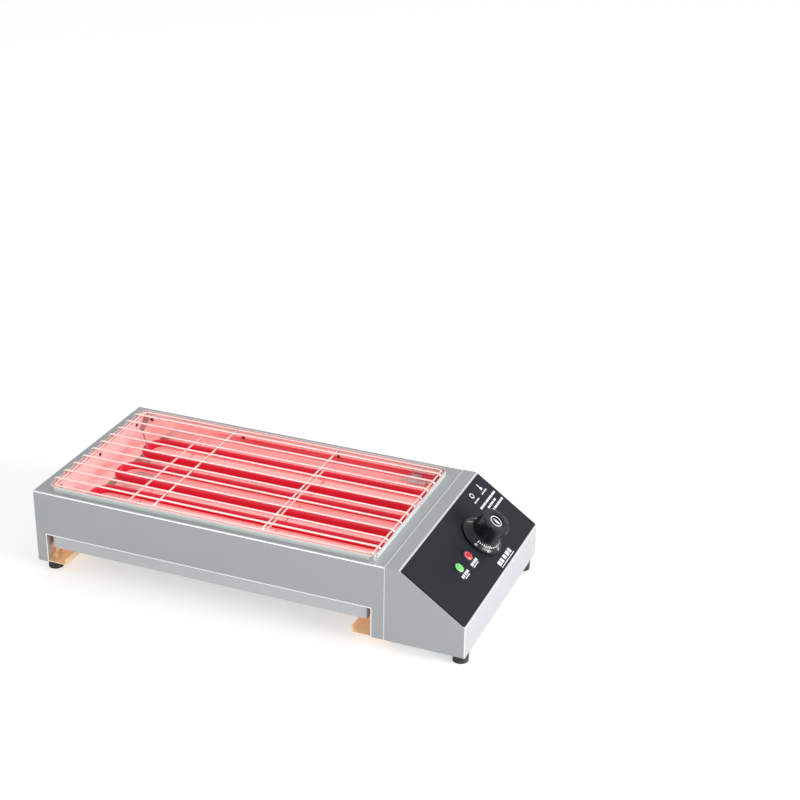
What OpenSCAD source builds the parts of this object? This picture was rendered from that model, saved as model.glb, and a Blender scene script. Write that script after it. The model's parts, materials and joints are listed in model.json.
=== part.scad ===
// Electric skewer grill: a folded steel casing with a heated chamber on the left and a control
// box with a sloping panel on the right. Millimetres, +Z up, +X along the length towards the
// control box, +Y towards the back. The origin is on the table under the middle of the outline.
// Inside the modules the casing's front left bottom corner is zero, and in_frame() moves it.

/* [Casing] */
// Length over all
body_l = 498; // [485:1:530]
// Depth of the casing, front to back
body_w = 230; // [224:1:250]
// Height of the casing above its feet
body_h = 85.5; // [84:0.5:96]
// Thickness of the folded sheets
sheet = 1; // [0.8:0.1:1.2]
// Outside radius of the folded edges
fold_r = 1.5; // [1.3:0.1:2.5]
// Width of the flanges that are folded inwards
flange_w = 10; // [8:0.5:12]
// Distance of the front cut-out from the ends of the chamber
cut_inset = 14; // [12:0.5:16]
// Height of the front cut-out
cut_h = 34; // [33.5:0.5:36]

/* [Control box] */
// Length of the control box, from the seam to the right end
box_l = 88.5; // [84:0.5:96]
// Flat shelf between the seam and the slope
shelf_l = 16; // [12:1:20]
// Height of the end wall below the slope
end_h = 34.5; // [30:0.5:40]
// Gap of the seam between the chamber and the control box
seam_gap = 0.3; // [0.2:0.1:0.5]
// Thickness of the black panel plate
panel_t = 1.2; // [0.8:0.1:2]
// Steel border left bare round the panel plate
panel_margin = 2; // [1:0.5:5]
// Distance of the knob's axis down the slope
knob_v = 46.5; // [42:0.5:50]
// Distance of the knob's axis from the front
knob_y = 138.5; // [135:0.5:155]
// Distance of the pilot lamps down the slope
lamp_v = 47; // [40:1:52]
// Distance of the green pilot lamp from the front
green_y = 69; // [60:0.5:78]
// Distance of the red pilot lamp from the front
red_y = 95.5; // [93:0.5:105]
// Diameter of a pilot lamp's bezel
lamp_d = 14; // [12:0.5:16]
// Distance of the cord bushing from the seam
bushing_x = 40; // [35:1:50]
// Height of the cord bushing
bushing_z = 22; // [20:1:24]
// Radius of the cord bushing's bore
bushing_bore_r = 4; // [3.5:0.1:4.5]

/* [Knob] */
// Diameter of the knob's skirt
skirt_d = 49; // [46:1:54]
// Diameter of the knob's grip
grip_d = 33.8; // [30:0.2:36]
// Height of the knob
knob_h = 27.8; // [24:0.2:30]
// Diameter of the thermostat's shaft
shaft_d = 6; // [5:0.5:6.5]

/* [Chamber] */
// Rim of the top plate on the left of the collar
rim_left = 15.5; // [14:0.5:18]
// Rim of the top plate on the right of the collar
rim_right = 12; // [10:0.5:14]
// Rim of the top plate in front of the collar
rim_front = 7; // [6.5:0.5:9]
// Rim of the top plate behind the collar
rim_back = 15; // [12:0.5:18]
// Height of the collar above the top plate
collar_rise = 5.5; // [5:0.5:7]
// Depth of the collar below the top plate
collar_drop = 9; // [8:0.5:10]
// Outside corner radius of the collar
collar_r = 9; // [7:0.5:12]
// Height of the liner's lower edge
liner_z = 36.5; // [36:0.5:38]
// Width of the liner's flange under the chamber
liner_flange = 9; // [6:0.5:11]

/* [Heating tubes] */
// Diameter of a heating tube
tube_d = 10.8; // [9:0.1:11]
// Depth of the tubes' axes below the top plate
tube_drop = 19.5; // [19:0.5:21]
// Distance of the bends from the left end of the casing
bend_x = 39.5; // [38:0.5:45]

/* [Grate] */
// Diameter of the grate's wires
wire_d = 3; // [2.5:0.1:3.2]
// Diameter of the two cross rods
cross_d = 4; // [3.5:0.1:4.2]
// Number of lengthwise rods
rod_count = 10; // [8:1:12]
// Play between the grate's frame and the collar
grate_play = 2.7; // [2:0.1:3.5]

/* [Drip tray] */
// Height of the tray's bottom
tray_z = 18.5; // [17:0.5:19]
// Height of the tray's walls
tray_h = 14.5; // [12:0.5:14.5]
// Play between the tray and each runner
tray_play = 1; // [0.5:0.1:1.5]
// Setback of the tray behind the casing's front face
tray_setback = 3; // [2:0.5:4]

/* [Rails and feet] */
// Width of the base rails
rail_w = 35.3; // [33:0.1:36]
// Height of the base rails' flanges
rail_h = 7; // [6:0.5:9]
// Height of the feet
foot_h = 12; // [8:0.5:14]
// Diameter of a foot
foot_d = 17.5; // [14:0.5:18]
// Distance of the front feet's axes from the front
foot_front = 14.5; // [13:0.5:17]
// Distance of the back feet's axes from the back
foot_back = 18; // [14:0.5:20]

/* [Hidden] */
$fn = 64;

// Overrun of every cut, running and seating gaps, and the play of a hole round its fastener
over = 1;
seat = 0.3;
hole_play = 0.1;
arc_steps = 6;
joint_share = 1.04;

// Geometry of the chamber and of the slope
chamber_l = body_l - box_l;
slope_x = chamber_l + shelf_l;
slope_a = atan2(body_h - end_h, body_l - slope_x);
slope_len = norm([body_h - end_h, body_l - slope_x]);
box_x = chamber_l + seam_gap;

// The collar's outline, the liner inside it, and the levels of the grate's wires
collar_lo = [rim_left, rim_front];
collar_hi = [chamber_l - rim_right, body_w - rim_back];
liner_lo = collar_lo + [sheet, sheet];
liner_hi = collar_hi - [sheet, sheet];
well_lo = liner_lo + [sheet, sheet];
well_hi = liner_hi - [sheet, sheet];
mid = (collar_lo + collar_hi) / 2;
rod_z = body_h + collar_rise + seat + wire_d / 2;
weld = 0.3;
frame_z = rod_z - wire_d + weld;
cross_z = rod_z - (wire_d + cross_d) / 2 + weld;
collar_flange = 3;
collar_lap = 0.5;
frame_inset = sheet + grate_play + wire_d / 2;
frame_lo = collar_lo + [frame_inset, frame_inset];
frame_hi = collar_hi - [frame_inset, frame_inset];
frame_r = collar_r - frame_inset;
rod_spread_share = 0.8712;
rod_pitch = rod_spread_share * (frame_hi[1] - frame_lo[1]) / (rod_count - 1);
tip_gap = 0.5;
tip_drop = 4.5;
tip_lap = 0.5;
cross_shares = [0.3234, 0.6655];

// Heating tubes
tube_r = tube_d / 2;
tube_z = body_h - tube_drop;
tube_pitch_share = 0.299;
run_gap_share = 0.5574;
tube_pitch = tube_pitch_share * (well_hi[1] - well_lo[1]);
tube_run_gap = run_gap_share * tube_pitch;
tube_ys = [mid[1] - tube_pitch, mid[1], mid[1] + tube_pitch];
run_r = tube_run_gap / 2;
sleeve_r = 6.5;
sleeve_out = 12;
sleeve_short = 1;
sleeve_flange = 2;
sleeve_flange_t = 3;
nut_w = 19;
nut_t = 4;
pin_d = 3;
pin_out = 7;
insulator_r = 3.6;
insulator_t = 3;
tube_end_x = chamber_l + sleeve_out;

// Support bar, cradles and tie of the tubes
bar_w = 8;
bar_t = 1.5;
bar_z = tube_z - tube_r - seat - bar_t;
bar_tab = 10;
cradle_d = 2.4;
cradle_shares = [0.2295, 0.6325];
cradle_r = 5;
strap_off = 0.8;
strap_w = 6.5;
strap_end_share = 0.35;
strap_upright = 4;
strap_reach = 11;
tie_d = 1.8;

// Rivets: depth below the top plate, and their places along the walls
rivet_d = 3.2;
rivet_head_d = 4.6;
rivet_head_t = 1;
rivet_drop = 5;
rivet_inset = 10.5;
long_rivets = 4;
short_rivets = 3;

// Drip tray and its runners
tray_side = 4.75;
tray_back = 11;
tray_lo = [cut_inset + tray_side, tray_setback];
tray_hi = [chamber_l - tray_lo[0], body_w - tray_back];
tray_r = 3;
hem_w = 4;
runner_t = 1;
runner_foot = 9;
runner_web_h = 30;
runner_ledge = 12;
runner_ends = 10;

// Feet and screws
foot_taper = 1;
foot_bottom_d = foot_d - foot_taper;
foot_recess_d = 9;
foot_recess_h = 6;
screw_d = 4;
screw_head_d = 7.5;
screw_head_h = 2.4;
screw_edge = 1;
screw_grip = 4;
foot_nut_t = 3;
foot_nut_d = 7;
foot_left = 13.5;
foot_right = 9.2;
feet = [[foot_left, foot_front], [foot_left, body_w - foot_back],
        [body_l - foot_right, foot_front], [body_l - foot_right, body_w - foot_back]];

// Sensor bulb and capillary
bulb_d = 5.6;
bulb_l = 31;
bulb_tail_d = 3.2;
bulb_tail_l = 9.5;
bulb_wall = 13;
bulb_drop = 11;
bulb_left = 51;
gland_d = 6.6;
gland_l = 5;
bulb_y = well_hi[1] - bulb_wall;
bulb_z = body_h - bulb_drop;
bulb_x = collar_hi[0] - bulb_left;
clip_w = 12;
clip_t = 1;
capillary_d = 2;
capillary_in = 2;
grommet_d = 7;
grommet_t = 5;

// Thermostat, in the slope's own frame
thermostat_w = 34;
thermostat_l = 42;
thermostat_h = 24;
thermostat_r = 4;
bush_out = 1;
shaft_in = 11.5;
shaft_out = 16;
tag_pitch = 12;
tag_t = 0.8;
tag_w = 6.3;
tag_l = 9;
pan_d = 7;
pan_h = 1.6;
pan_screw_in = 6;
bush_d = 10;
thermostat_flange_t = 2;
thermostat_flange_d = 38;
thermostat_screw_gap = 21;
thermostat_screw_d = 4;
shaft_flat = 1.5;
skirt_gap = 1;
skirt_edge_h = 1.6;
skirt_rim_w = 2.5;
skirt_rim_rise = 0.4;
skirt_h = 7.4;
flute_count = 6;
flute_r = 2.2;
flute_in = 1.3;
flute_l = 9.6;
knob_step = 0.6;
knob_edge_r = 0.9;
knob_wall = 2;
dish_in = 0.8;
dish_d = 18;

// Pilot lamps
lens_h = 3;
bezel_w = 1.5;
bezel_h = 1.8;
bezel_floor = 0.4;
lamp_barrel_d = 10;
lamp_barrel_l = 22;
lamp_nut_w = 14;
lamp_nut_t = 3;

// Bottom plate, terminal block and cord bushing
vent_count = 6;
vent_w = 4;
vent_l = 70;
vent_share = 0.45;
block_l = 54;
block_w = 20;
block_h = 16;
block_ways = 5;
bushing_flange_t = 3;
bushing_flange_d = 20;
bushing_neck_d = 14;
bushing_in = 12;
bushing_lip = 1;
earth_at = [25, 25];
earth_h = 12;
rib_gap = 2;
terminal_screw_d = 4;
terminal_screw_l = 8;
terminal_sunk = 1;
slot_w = 0.8;
wire_core_d = 2.6;
lamp_wire_d = 1.6;
lowest_lane = 20;
lane_gap = 3;
block_y = 24;
lamp_lane_shares = [0.62, 0.2];
lamp_tab_l = 6.3;
lamp_tab_y = 3.2;
lamp_lead = 2;
lamp_tab_w = 4.8;
lamp_tab_t = 0.8;

// Colours
steel = "silver";
dark_steel = "dimgray";
zinc = "darkkhaki";

// A unit vector, and the points of an arc that rounds the corner b between a and c
function unit(v) = v / norm(v);
function corner_arc(a, b, c, r) =
    let (u = unit(a - b), v = unit(c - b), half = acos(u * v) / 2)
    let (m = b + unit(u + v) * r / sin(half), p = b + u * r / tan(half), q = b + v * r / tan(half))
    let (a0 = atan2(p[1] - m[1], p[0] - m[0]), a1 = atan2(q[1] - m[1], q[0] - m[0]))
    let (turn = (a1 - a0 + 540) % 360 - 180)
    [for (i = [0:arc_steps]) m + r * [cos(a0 + turn * i / arc_steps), sin(a0 + turn * i / arc_steps)]];
function rounded(pts, rs) =
    let (n = len(pts))
    [for (i = [0:n - 1])
        each rs[i] > 0 ? corner_arc(pts[(i + n - 1) % n], pts[i], pts[(i + 1) % n], rs[i]) : [pts[i]]];
function box_points(lo, hi) = [lo, [hi[0], lo[1]], hi, [lo[0], hi[1]]];

module in_frame() {
    translate([-body_l / 2, -(body_w + bushing_flange_t) / 2, foot_h]) children();
}

// The slope's frame: x down the slope, y to the back, z out of the panel
module on_slope(v, y) {
    translate([slope_x + v * cos(slope_a), y, body_h - v * sin(slope_a)])
        rotate([0, slope_a, 0]) children();
}

// A rounded rectangle in plan, and a ring of it
module plan(lo, hi, r) {
    polygon(rounded(box_points(lo, hi), [r, r, r, r]));
}
module band(lo, hi, r, t, z0, z1) {
    translate([0, 0, z0]) linear_extrude(z1 - z0) difference() {
        plan(lo, hi, r);
        plan(lo + [t, t], hi - [t, t], r - t);
    }
}

// An outline in X and Z, drawn out along Y, and one in Y and Z, drawn out along X
module along_y(y0, y1) {
    translate([0, y1, 0]) rotate([90, 0, 0]) linear_extrude(y1 - y0) children();
}
module along_x(x0, x1) {
    translate([x0, 0, 0]) rotate([90, 0, 90]) linear_extrude(x1 - x0) children();
}

// A block between two corners, and one with its top and its left edges rounded
module block(lo, hi) {
    translate(lo) cube(hi - lo);
}
module folded_block(lo, hi, r) {
    intersection() {
        along_x(lo[0], hi[0])
            polygon(rounded(box_points([lo[1], lo[2]], [hi[1], hi[2]]), [0, 0, r, r]));
        along_y(lo[1], hi[1])
            polygon(rounded(box_points([lo[0], lo[2]], [hi[0], hi[2]]), [0, 0, 0, r]));
        translate([0, 0, lo[2]]) linear_extrude(hi[2] - lo[2])
            polygon(rounded(box_points([lo[0], lo[1]], [hi[0], hi[1]]), [r, 0, 0, r]));
    }
}

// Round bars along the axes, and a bent wire through points
module bar_x(d, x0, x1) {
    translate([x0, 0, 0]) rotate([0, 90, 0]) cylinder(h = x1 - x0, d = d);
}
module bar_y(d, y0, y1) {
    translate([0, y0, 0]) rotate([-90, 0, 0]) cylinder(h = y1 - y0, d = d);
}
module stretch(a, b, d) {
    w = b - a;
    translate(a) rotate([0, acos(w[2] / norm(w)), atan2(w[1], w[0])]) cylinder(h = norm(w), d = d);
}
module wire(points, d) {
    for (i = [1:len(points) - 1]) stretch(points[i - 1], points[i], d);
    for (i = [1:1:len(points) - 2]) translate(points[i]) sphere(d = d * joint_share);
}

// A closed loop of round wire in plan, with rounded corners
module wire_loop(lo, hi, r, d) {
    corners = box_points(lo + [r, r], hi - [r, r]);
    for (y = [lo[1], hi[1]]) translate([0, y, 0]) bar_x(d, lo[0] + r, hi[0] - r);
    for (x = [lo[0], hi[0]]) translate([x, 0, 0]) bar_y(d, lo[1] + r, hi[1] - r);
    for (i = [0:3])
        translate(corners[i]) rotate([0, 0, 180 + 90 * i])
            rotate_extrude(angle = 90) translate([r, 0]) circle(d = d);
}

// Places of the rivets: along the front and back walls, and along the left wall
function long_rivet_xs() = [for (i = [0:long_rivets - 1])
    liner_lo[0] + rivet_inset + i * (liner_hi[0] - liner_lo[0] - 2 * rivet_inset) / (long_rivets - 1)];
function short_rivet_ys() = [for (i = [0:short_rivets - 1])
    liner_lo[1] + 2 * rivet_inset
    + i * (liner_hi[1] - liner_lo[1] - 4 * rivet_inset) / (short_rivets - 1)];
module at_rivets() {
    z = body_h - rivet_drop;
    for (x = long_rivet_xs()) {
        translate([x, well_lo[1], z]) rotate([90, 0, 0]) children();
        translate([x, well_hi[1], z]) rotate([-90, 0, 0]) children();
    }
    for (y = short_rivet_ys())
        translate([well_lo[0], y, z]) rotate([0, -90, 0]) children();
}

// Casing
module chamber_shell() {
    lo = [0, 0, 0];
    hi = [chamber_l, body_w, body_h];
    cut_hi = chamber_l - cut_inset;
    color(steel) in_frame() {
        difference() {
            folded_block(lo, hi, fold_r);
            folded_block(lo + [sheet, sheet, -over], hi + [over, -sheet, -sheet], fold_r - sheet);
            translate([0, 0, body_h - sheet - over]) linear_extrude(sheet + 2 * over)
                plan(collar_lo, collar_hi, collar_r);
            block([cut_inset, -over, -over], [cut_hi, sheet + over, cut_h]);
        }
        // Return flanges round the cut-out and along the back's lower edge
        block([cut_inset - sheet, sheet, cut_h], [cut_hi + sheet, rim_front, cut_h + sheet]);
        for (x = [cut_inset - sheet, cut_hi])
            block([x, sheet, rail_h + seat], [x + sheet, rim_front, cut_h]);
        block([rail_w + seat, body_w - flange_w, 0],
              [chamber_l - rail_w - seat, body_w - sheet, sheet]);
    }
}

module grate_collar() {
    top = body_h - sheet;
    out = [collar_flange, collar_flange];
    color(steel) in_frame() {
        difference() {
            union() {
                band(collar_lo, collar_hi, collar_r, sheet, body_h - collar_drop, body_h + collar_rise);
                band(collar_lo - out, collar_hi + out, collar_r + collar_flange,
                     collar_flange + collar_lap, top - sheet, top);
            }
            at_rivets() cylinder(h = 4 * sheet, d = rivet_d + hole_play);
        }
    }
}

module chamber_liner() {
    color(steel) in_frame() difference() {
        union() {
            band(liner_lo, liner_hi, collar_r - sheet, sheet, liner_z, body_h);
            band(liner_lo, liner_hi, collar_r - sheet, liner_flange, liner_z, liner_z + sheet);
        }
        at_rivets() translate([0, 0, -sheet]) cylinder(h = 4 * sheet, d = rivet_d + hole_play);
        for (y = tube_ys, s = [-1, 1])
            translate([0, y + s * run_r, tube_z])
                bar_x(tube_d + 2 * seat, well_hi[0] - over, liner_hi[0] + over);
        translate([0, bulb_y, bulb_z])
            bar_x(capillary_d + 2 * seat, well_hi[0] - over, liner_hi[0] + over);
    }
}

module liner_rivets() {
    color(dark_steel) in_frame() at_rivets() {
        translate([0, 0, -rivet_head_t]) cylinder(h = rivet_head_t, d1 = rivet_d, d2 = rivet_head_d);
        cylinder(h = 2 * sheet + hole_play, d = rivet_d);
        translate([0, 0, 2 * sheet]) cylinder(h = rivet_head_t, d1 = rivet_head_d, d2 = rivet_d);
    }
}

module partition_wall() {
    lo = [chamber_l - sheet, sheet, 0];
    hi = [chamber_l, body_w - sheet, body_h - sheet];
    lip = box_x + flange_w;
    color(steel) in_frame() difference() {
        union() {
            block(lo, hi);
            for (y = [sheet, body_w - 2 * sheet]) block([chamber_l, y, flange_w], [lip, y + sheet, hi[2]]);
            block([chamber_l, sheet, hi[2] - sheet], [lip, body_w - sheet, hi[2]]);
        }
        for (y = tube_ys, s = [-1, 1])
            translate([0, y + s * run_r, tube_z])
                bar_x(2 * sleeve_r + hole_play, lo[0] - over, hi[0] + over);
        translate([0, bulb_y, bulb_z]) bar_x(grommet_d - 2 * sheet, lo[0] - over, hi[0] + over);
    }
}

// The outline of the control box in X and Z, and the same line inside the sheet
function cover_outline() = rounded([[box_x, 0], [body_l, 0], [body_l, end_h],
    [slope_x, body_h], [box_x, body_h]], [0, 0, 2 * fold_r, 2 * fold_r, 0]);
function cover_inside() =
    let (c = sin(slope_a) * slope_x + cos(slope_a) * body_h - sheet)
    let (xi = body_l - sheet, zi = body_h - sheet)
    rounded([[box_x - over, -over], [xi, -over], [xi, (c - sin(slope_a) * xi) / cos(slope_a)],
        [(c - cos(slope_a) * zi) / sin(slope_a), zi], [box_x - over, zi]],
        [0, 0, 2 * fold_r - sheet, 2 * fold_r - sheet, 0]);

// Places of the screws that hold the bottom plate
cover_screws_at = [for (x = [box_x + flange_w, body_l - 3 * flange_w],
    y = [sheet + flange_w / 2, body_w - sheet - flange_w / 2]) [x, y]];

module panel_holes(t0, t1, screw_play) {
    for (y = [green_y, red_y])
        on_slope(lamp_v, y) translate([0, 0, t0]) cylinder(h = t1 - t0, d = lamp_barrel_d + hole_play);
    on_slope(knob_v, knob_y) {
        translate([0, 0, t0]) cylinder(h = t1 - t0, d = bush_d + hole_play);
        for (s = [-1, 1])
            translate([0, s * thermostat_screw_gap / 2, t0])
                cylinder(h = t1 - t0, d = thermostat_screw_d + screw_play);
    }
}

module control_box_cover() {
    color(steel) in_frame() difference() {
        union() {
            difference() {
                intersection() {
                    along_y(0, body_w) polygon(cover_outline());
                    linear_extrude(body_h) polygon(rounded(box_points([box_x, 0], [body_l, body_w]),
                        [0, fold_r, fold_r, 0]));
                }
                along_y(sheet, body_w - sheet) polygon(cover_inside());
            }
            for (y = [sheet, body_w - sheet - flange_w])
                block([box_x, y, sheet], [body_l - sheet, y + flange_w, 2 * sheet]);
        }
        panel_holes(-sheet - over, over, hole_play);
        for (p = cover_screws_at)
            translate([p[0], p[1], 0]) cylinder(h = 3 * sheet, d = screw_d + hole_play);
        for (p = [feet[2], feet[3]])
            translate([p[0], p[1], 0]) cylinder(h = 3 * sheet, d = foot_recess_d);
        translate([box_x + bushing_x, 0, bushing_z])
            bar_y(bushing_neck_d + hole_play, body_w - sheet - over, body_w + over);
    }
}

module control_box_bottom() {
    lo = [box_x, sheet, 0];
    hi = [body_l - sheet, body_w - sheet, sheet];
    color(steel) in_frame() difference() {
        block(lo, hi);
        for (i = [0:vent_count - 1])
            translate([0, body_w / 2 + (i - (vent_count - 1) / 2) * 3 * vent_w, -over])
                linear_extrude(sheet + 2 * over) {
                    x0 = (lo[0] + hi[0] - vent_l) / 2;
                    polygon(rounded(box_points([x0, -vent_w / 2], [x0 + vent_l, vent_w / 2]),
                        [for (k = [0:3]) vent_w * vent_share]));
                }
        for (p = cover_screws_at)
            translate([p[0], p[1], -over]) cylinder(h = 3 * sheet, d = screw_d + hole_play);
        for (p = [feet[2], feet[3]])
            translate([p[0], p[1], -over]) cylinder(h = 3 * sheet, d = screw_d + hole_play);
    }
}

module control_panel() {
    color("black") in_frame() difference() {
        on_slope(0, 0) linear_extrude(panel_t)
            polygon(rounded(box_points([panel_margin, panel_margin],
                [slope_len - panel_margin, body_w - panel_margin]), [for (k = [0:3]) fold_r]));
        panel_holes(-over, panel_t + over, hole_play);
    }
}

module screw_head() {
    translate([0, 0, -screw_head_h])
        cylinder(h = screw_head_h, d1 = screw_head_d - screw_edge, d2 = screw_head_d);
}
module cover_screws() {
    color(steel) in_frame() for (p = cover_screws_at)
        translate([p[0], p[1], 0]) {
            cylinder(h = 5 * sheet, d = screw_d);
            screw_head();
        }
}

// Base rails, feet and runners
module base_rail(x0, x1) {
    y0 = sheet;
    y1 = body_w - sheet;
    difference() {
        union() {
            block([x0, y0, 0], [x1, y1, sheet]);
            for (x = [x0, x1 - sheet]) block([x, y0, sheet], [x + sheet, y1, rail_h]);
        }
        for (p = feet)
            translate([p[0], p[1], -over]) cylinder(h = 3 * sheet, d = screw_d + hole_play);
    }
}
module left_base_rail() {
    color(zinc) in_frame() base_rail(sheet, rail_w);
}
module right_base_rail() {
    color(zinc) in_frame() base_rail(chamber_l - rail_w, chamber_l - sheet);
}

module foot(i) {
    color("black") in_frame() translate([feet[i][0], feet[i][1], -foot_h]) difference() {
        cylinder(h = foot_h, d1 = foot_bottom_d, d2 = foot_d);
        translate([0, 0, -over]) cylinder(h = foot_recess_h + over, d = foot_recess_d);
        cylinder(h = foot_h + over, d = screw_d + hole_play);
    }
}
module front_left_foot() { foot(0); }
module back_left_foot() { foot(1); }
module front_right_foot() { foot(2); }
module back_right_foot() { foot(3); }

module foot_screws() {
    color(steel) in_frame() for (p = feet)
        translate([p[0], p[1], foot_recess_h - foot_h]) {
            screw_head();
            cylinder(h = foot_h - foot_recess_h + sheet + screw_grip, d = screw_d);
            translate([0, 0, foot_h - foot_recess_h + sheet])
                cylinder(h = foot_nut_t, d = foot_nut_d, $fn = 6);
        }
}

// A runner in X and Z, with its guide web at zero and its ledge towards +X
module tray_runner() {
    ledge = tray_z - seat;
    y0 = sheet + runner_ends;
    y1 = tray_hi[1] + seat + runner_t;
    foot_y0 = foot_front + screw_head_d;
    foot_y1 = body_w - foot_back - screw_head_d;
    block([-runner_t - runner_foot, foot_y0, sheet], [0, foot_y1, sheet + runner_t]);
    block([-runner_t, foot_y0, sheet + runner_t], [0, foot_y1, rail_h]);
    block([-runner_t, y0, rail_h], [0, y1, runner_web_h]);
    block([0, y0, ledge - runner_t], [runner_ledge, y1, ledge]);
    block([0, y1 - runner_t, ledge], [runner_ledge, y1, runner_web_h]);
}
module left_tray_runner() {
    color(steel) in_frame() translate([tray_lo[0] - tray_play, 0, 0]) tray_runner();
}
module right_tray_runner() {
    color(steel) in_frame() translate([tray_hi[0] + tray_play, 0, 0]) mirror([1, 0, 0]) tray_runner();
}

module drip_tray() {
    top = tray_z + tray_h;
    color(steel) in_frame() {
        difference() {
            translate([0, 0, tray_z]) linear_extrude(tray_h) plan(tray_lo, tray_hi, tray_r);
            translate([0, 0, tray_z + sheet]) linear_extrude(tray_h)
                plan(tray_lo + [sheet, sheet], tray_hi - [sheet, sheet], tray_r - sheet);
        }
        band(tray_lo, tray_hi, tray_r, hem_w / 2, top - sheet, top);
    }
}

// Heating tubes and what holds them
module heating_tube(y) {
    x0 = bend_x + tube_r + run_r;
    color("firebrick") in_frame() translate([0, y, tube_z]) {
        translate([x0, 0, 0]) rotate([0, 0, 90]) rotate_extrude(angle = 180)
            translate([run_r, 0]) circle(d = tube_d);
        for (s = [-1, 1]) translate([0, s * run_r, 0]) bar_x(tube_d, x0, tube_end_x);
    }
}
module front_heating_tube() { heating_tube(tube_ys[0]); }
module middle_heating_tube() { heating_tube(tube_ys[1]); }
module rear_heating_tube() { heating_tube(tube_ys[2]); }

module at_tube_ends(x) {
    for (y = tube_ys, s = [-1, 1]) translate([x, y + s * run_r, tube_z]) children();
}
module tube_bushings() {
    color("goldenrod") in_frame() at_tube_ends(0) difference() {
        union() {
            bar_x(2 * sleeve_r, chamber_l - 2 * sheet, tube_end_x - sleeve_short);
            bar_x(2 * (sleeve_r + sleeve_flange), chamber_l - sheet - sleeve_flange_t,
                  chamber_l - sheet);
        }
        bar_x(tube_d + hole_play, chamber_l - 6 * sheet, tube_end_x + over);
    }
}
module tube_nuts() {
    color("goldenrod") in_frame() at_tube_ends(chamber_l) difference() {
        rotate([0, 90, 0]) cylinder(h = nut_t, d = nut_w, $fn = 6);
        bar_x(2 * sleeve_r + hole_play, -over, nut_t + over);
    }
}
module tube_pins() {
    color(steel) in_frame() at_tube_ends(tube_end_x) {
        bar_x(2 * insulator_r, 0, insulator_t);
        bar_x(pin_d, insulator_t, pin_out);
    }
}
module tube_support_bar() {
    y0 = well_lo[1];
    y1 = well_hi[1];
    x0 = bend_x;
    x1 = x0 + bar_w;
    color(dark_steel) in_frame() {
        block([x0, y0, bar_z], [x1, y1, bar_z + bar_t]);
        for (y = [y0, y1 - bar_t]) block([x0, y, bar_z - bar_tab], [x1, y + bar_t, bar_z]);
    }
}

// A closed wire loop round all tubes, in a plane across them
module tube_cradle(x) {
    reach = tube_r + seat + cradle_d / 2;
    wall = seat + cradle_d / 2;
    color(steel) in_frame() translate([x, 0, 0]) rotate([90, 0, 90])
        wire_loop([well_lo[1] + wall, tube_z - reach], [well_hi[1] - wall, tube_z + reach],
                  cradle_r, cradle_d);
}
module left_tube_cradle() { tube_cradle(cradle_shares[0] * chamber_l); }
module right_tube_cradle() { tube_cradle(cradle_shares[1] * chamber_l); }

// A strap in the back left corner, with a rod that hooks round the rear tube's bend
module tube_tie() {
    r = collar_r - 2 * sheet;
    y1 = well_hi[1] - r + sqrt(r * r - (r - strap_off) * (r - strap_off)) - seat;
    x0 = well_lo[0] + strap_off;
    z1 = body_h - sheet;
    za = z1 - strap_upright;
    yb = y1 - strap_reach;
    zb = tube_z + tube_r + seat;
    t = sheet;
    zs = zb + t / 2;
    hook = [bend_x + tube_r + run_r - run_r * cos(45), tube_ys[2] - run_r * sin(45), zb + tie_d / 2];
    xm = x0 + strap_w / 2;
    end = strap_end_share * strap_w / 2;
    color(dark_steel) in_frame() {
        intersection() {
            along_x(x0 - over, x0 + strap_w + over)
                polygon([[y1, z1], [y1, za], [yb, zs], [yb, zs + t], [y1 - t, za + t], [y1 - t, z1]]);
            along_y(yb - over, y1 + over) polygon([[x0, z1 + over], [x0, zb + 3 * t],
                [xm - end, zb - over], [xm + end, zb - over], [x0 + strap_w, zb + 3 * t],
                [x0 + strap_w, z1 + over]]);
        }
        wire([[xm, yb + t, zb + tie_d / 2], hook], tie_d);
    }
}

// Sensor bulb, its clip and the capillary
module sensor_bulb() {
    color("lightgray") in_frame() translate([bulb_x, bulb_y, bulb_z]) difference() {
        union() {
            bar_x(bulb_tail_d, 0, bulb_tail_l);
            bar_x(bulb_d, bulb_tail_l, bulb_l);
            bar_x(gland_d, bulb_l - gland_l, bulb_l);
        }
        bar_x(capillary_d + hole_play, bulb_l - capillary_in, bulb_l + over);
    }
}
module sensor_clip() {
    x0 = bulb_x + bulb_tail_l;
    ring = bulb_d / 2 + clip_t + hole_play;
    color(dark_steel) in_frame() {
        difference() {
            union() {
                translate([0, bulb_y, bulb_z]) bar_x(2 * ring, x0, x0 + clip_w);
                block([x0, bulb_y, bulb_z + ring - clip_t], [x0 + clip_w, well_hi[1], bulb_z + ring]);
                block([x0, well_hi[1] - clip_t, bulb_z - ring], [x0 + clip_w, well_hi[1], bulb_z + ring]);
            }
            translate([0, bulb_y, bulb_z]) bar_x(bulb_d + 2 * hole_play, x0 - over, x0 + clip_w + over);
        }
        translate([x0 + clip_w / 2, well_hi[1] - clip_t, bulb_z]) rotate([90, 0, 0])
            cylinder(h = rivet_head_t, d = rivet_head_d);
    }
}
module capillary() {
    lane = chamber_l + sleeve_out + insulator_t;
    depth = sheet + thermostat_flange_t + thermostat_h / 2;
    inward = [-sin(slope_a), -cos(slope_a)];
    side = [-cos(slope_a), sin(slope_a)];
    at = [slope_x + knob_v * cos(slope_a), body_h - knob_v * sin(slope_a)]
        + depth * inward + thermostat_w / 2 * side;
    near = at + (at[0] - lane) / cos(slope_a) * side;
    color("orange") in_frame() wire([[bulb_x + bulb_l - capillary_in, bulb_y, bulb_z],
        [lane, bulb_y, bulb_z], [lane, knob_y, bulb_z], [near[0], knob_y, near[1]],
        [at[0], knob_y, at[1]]], capillary_d);
}
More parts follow.
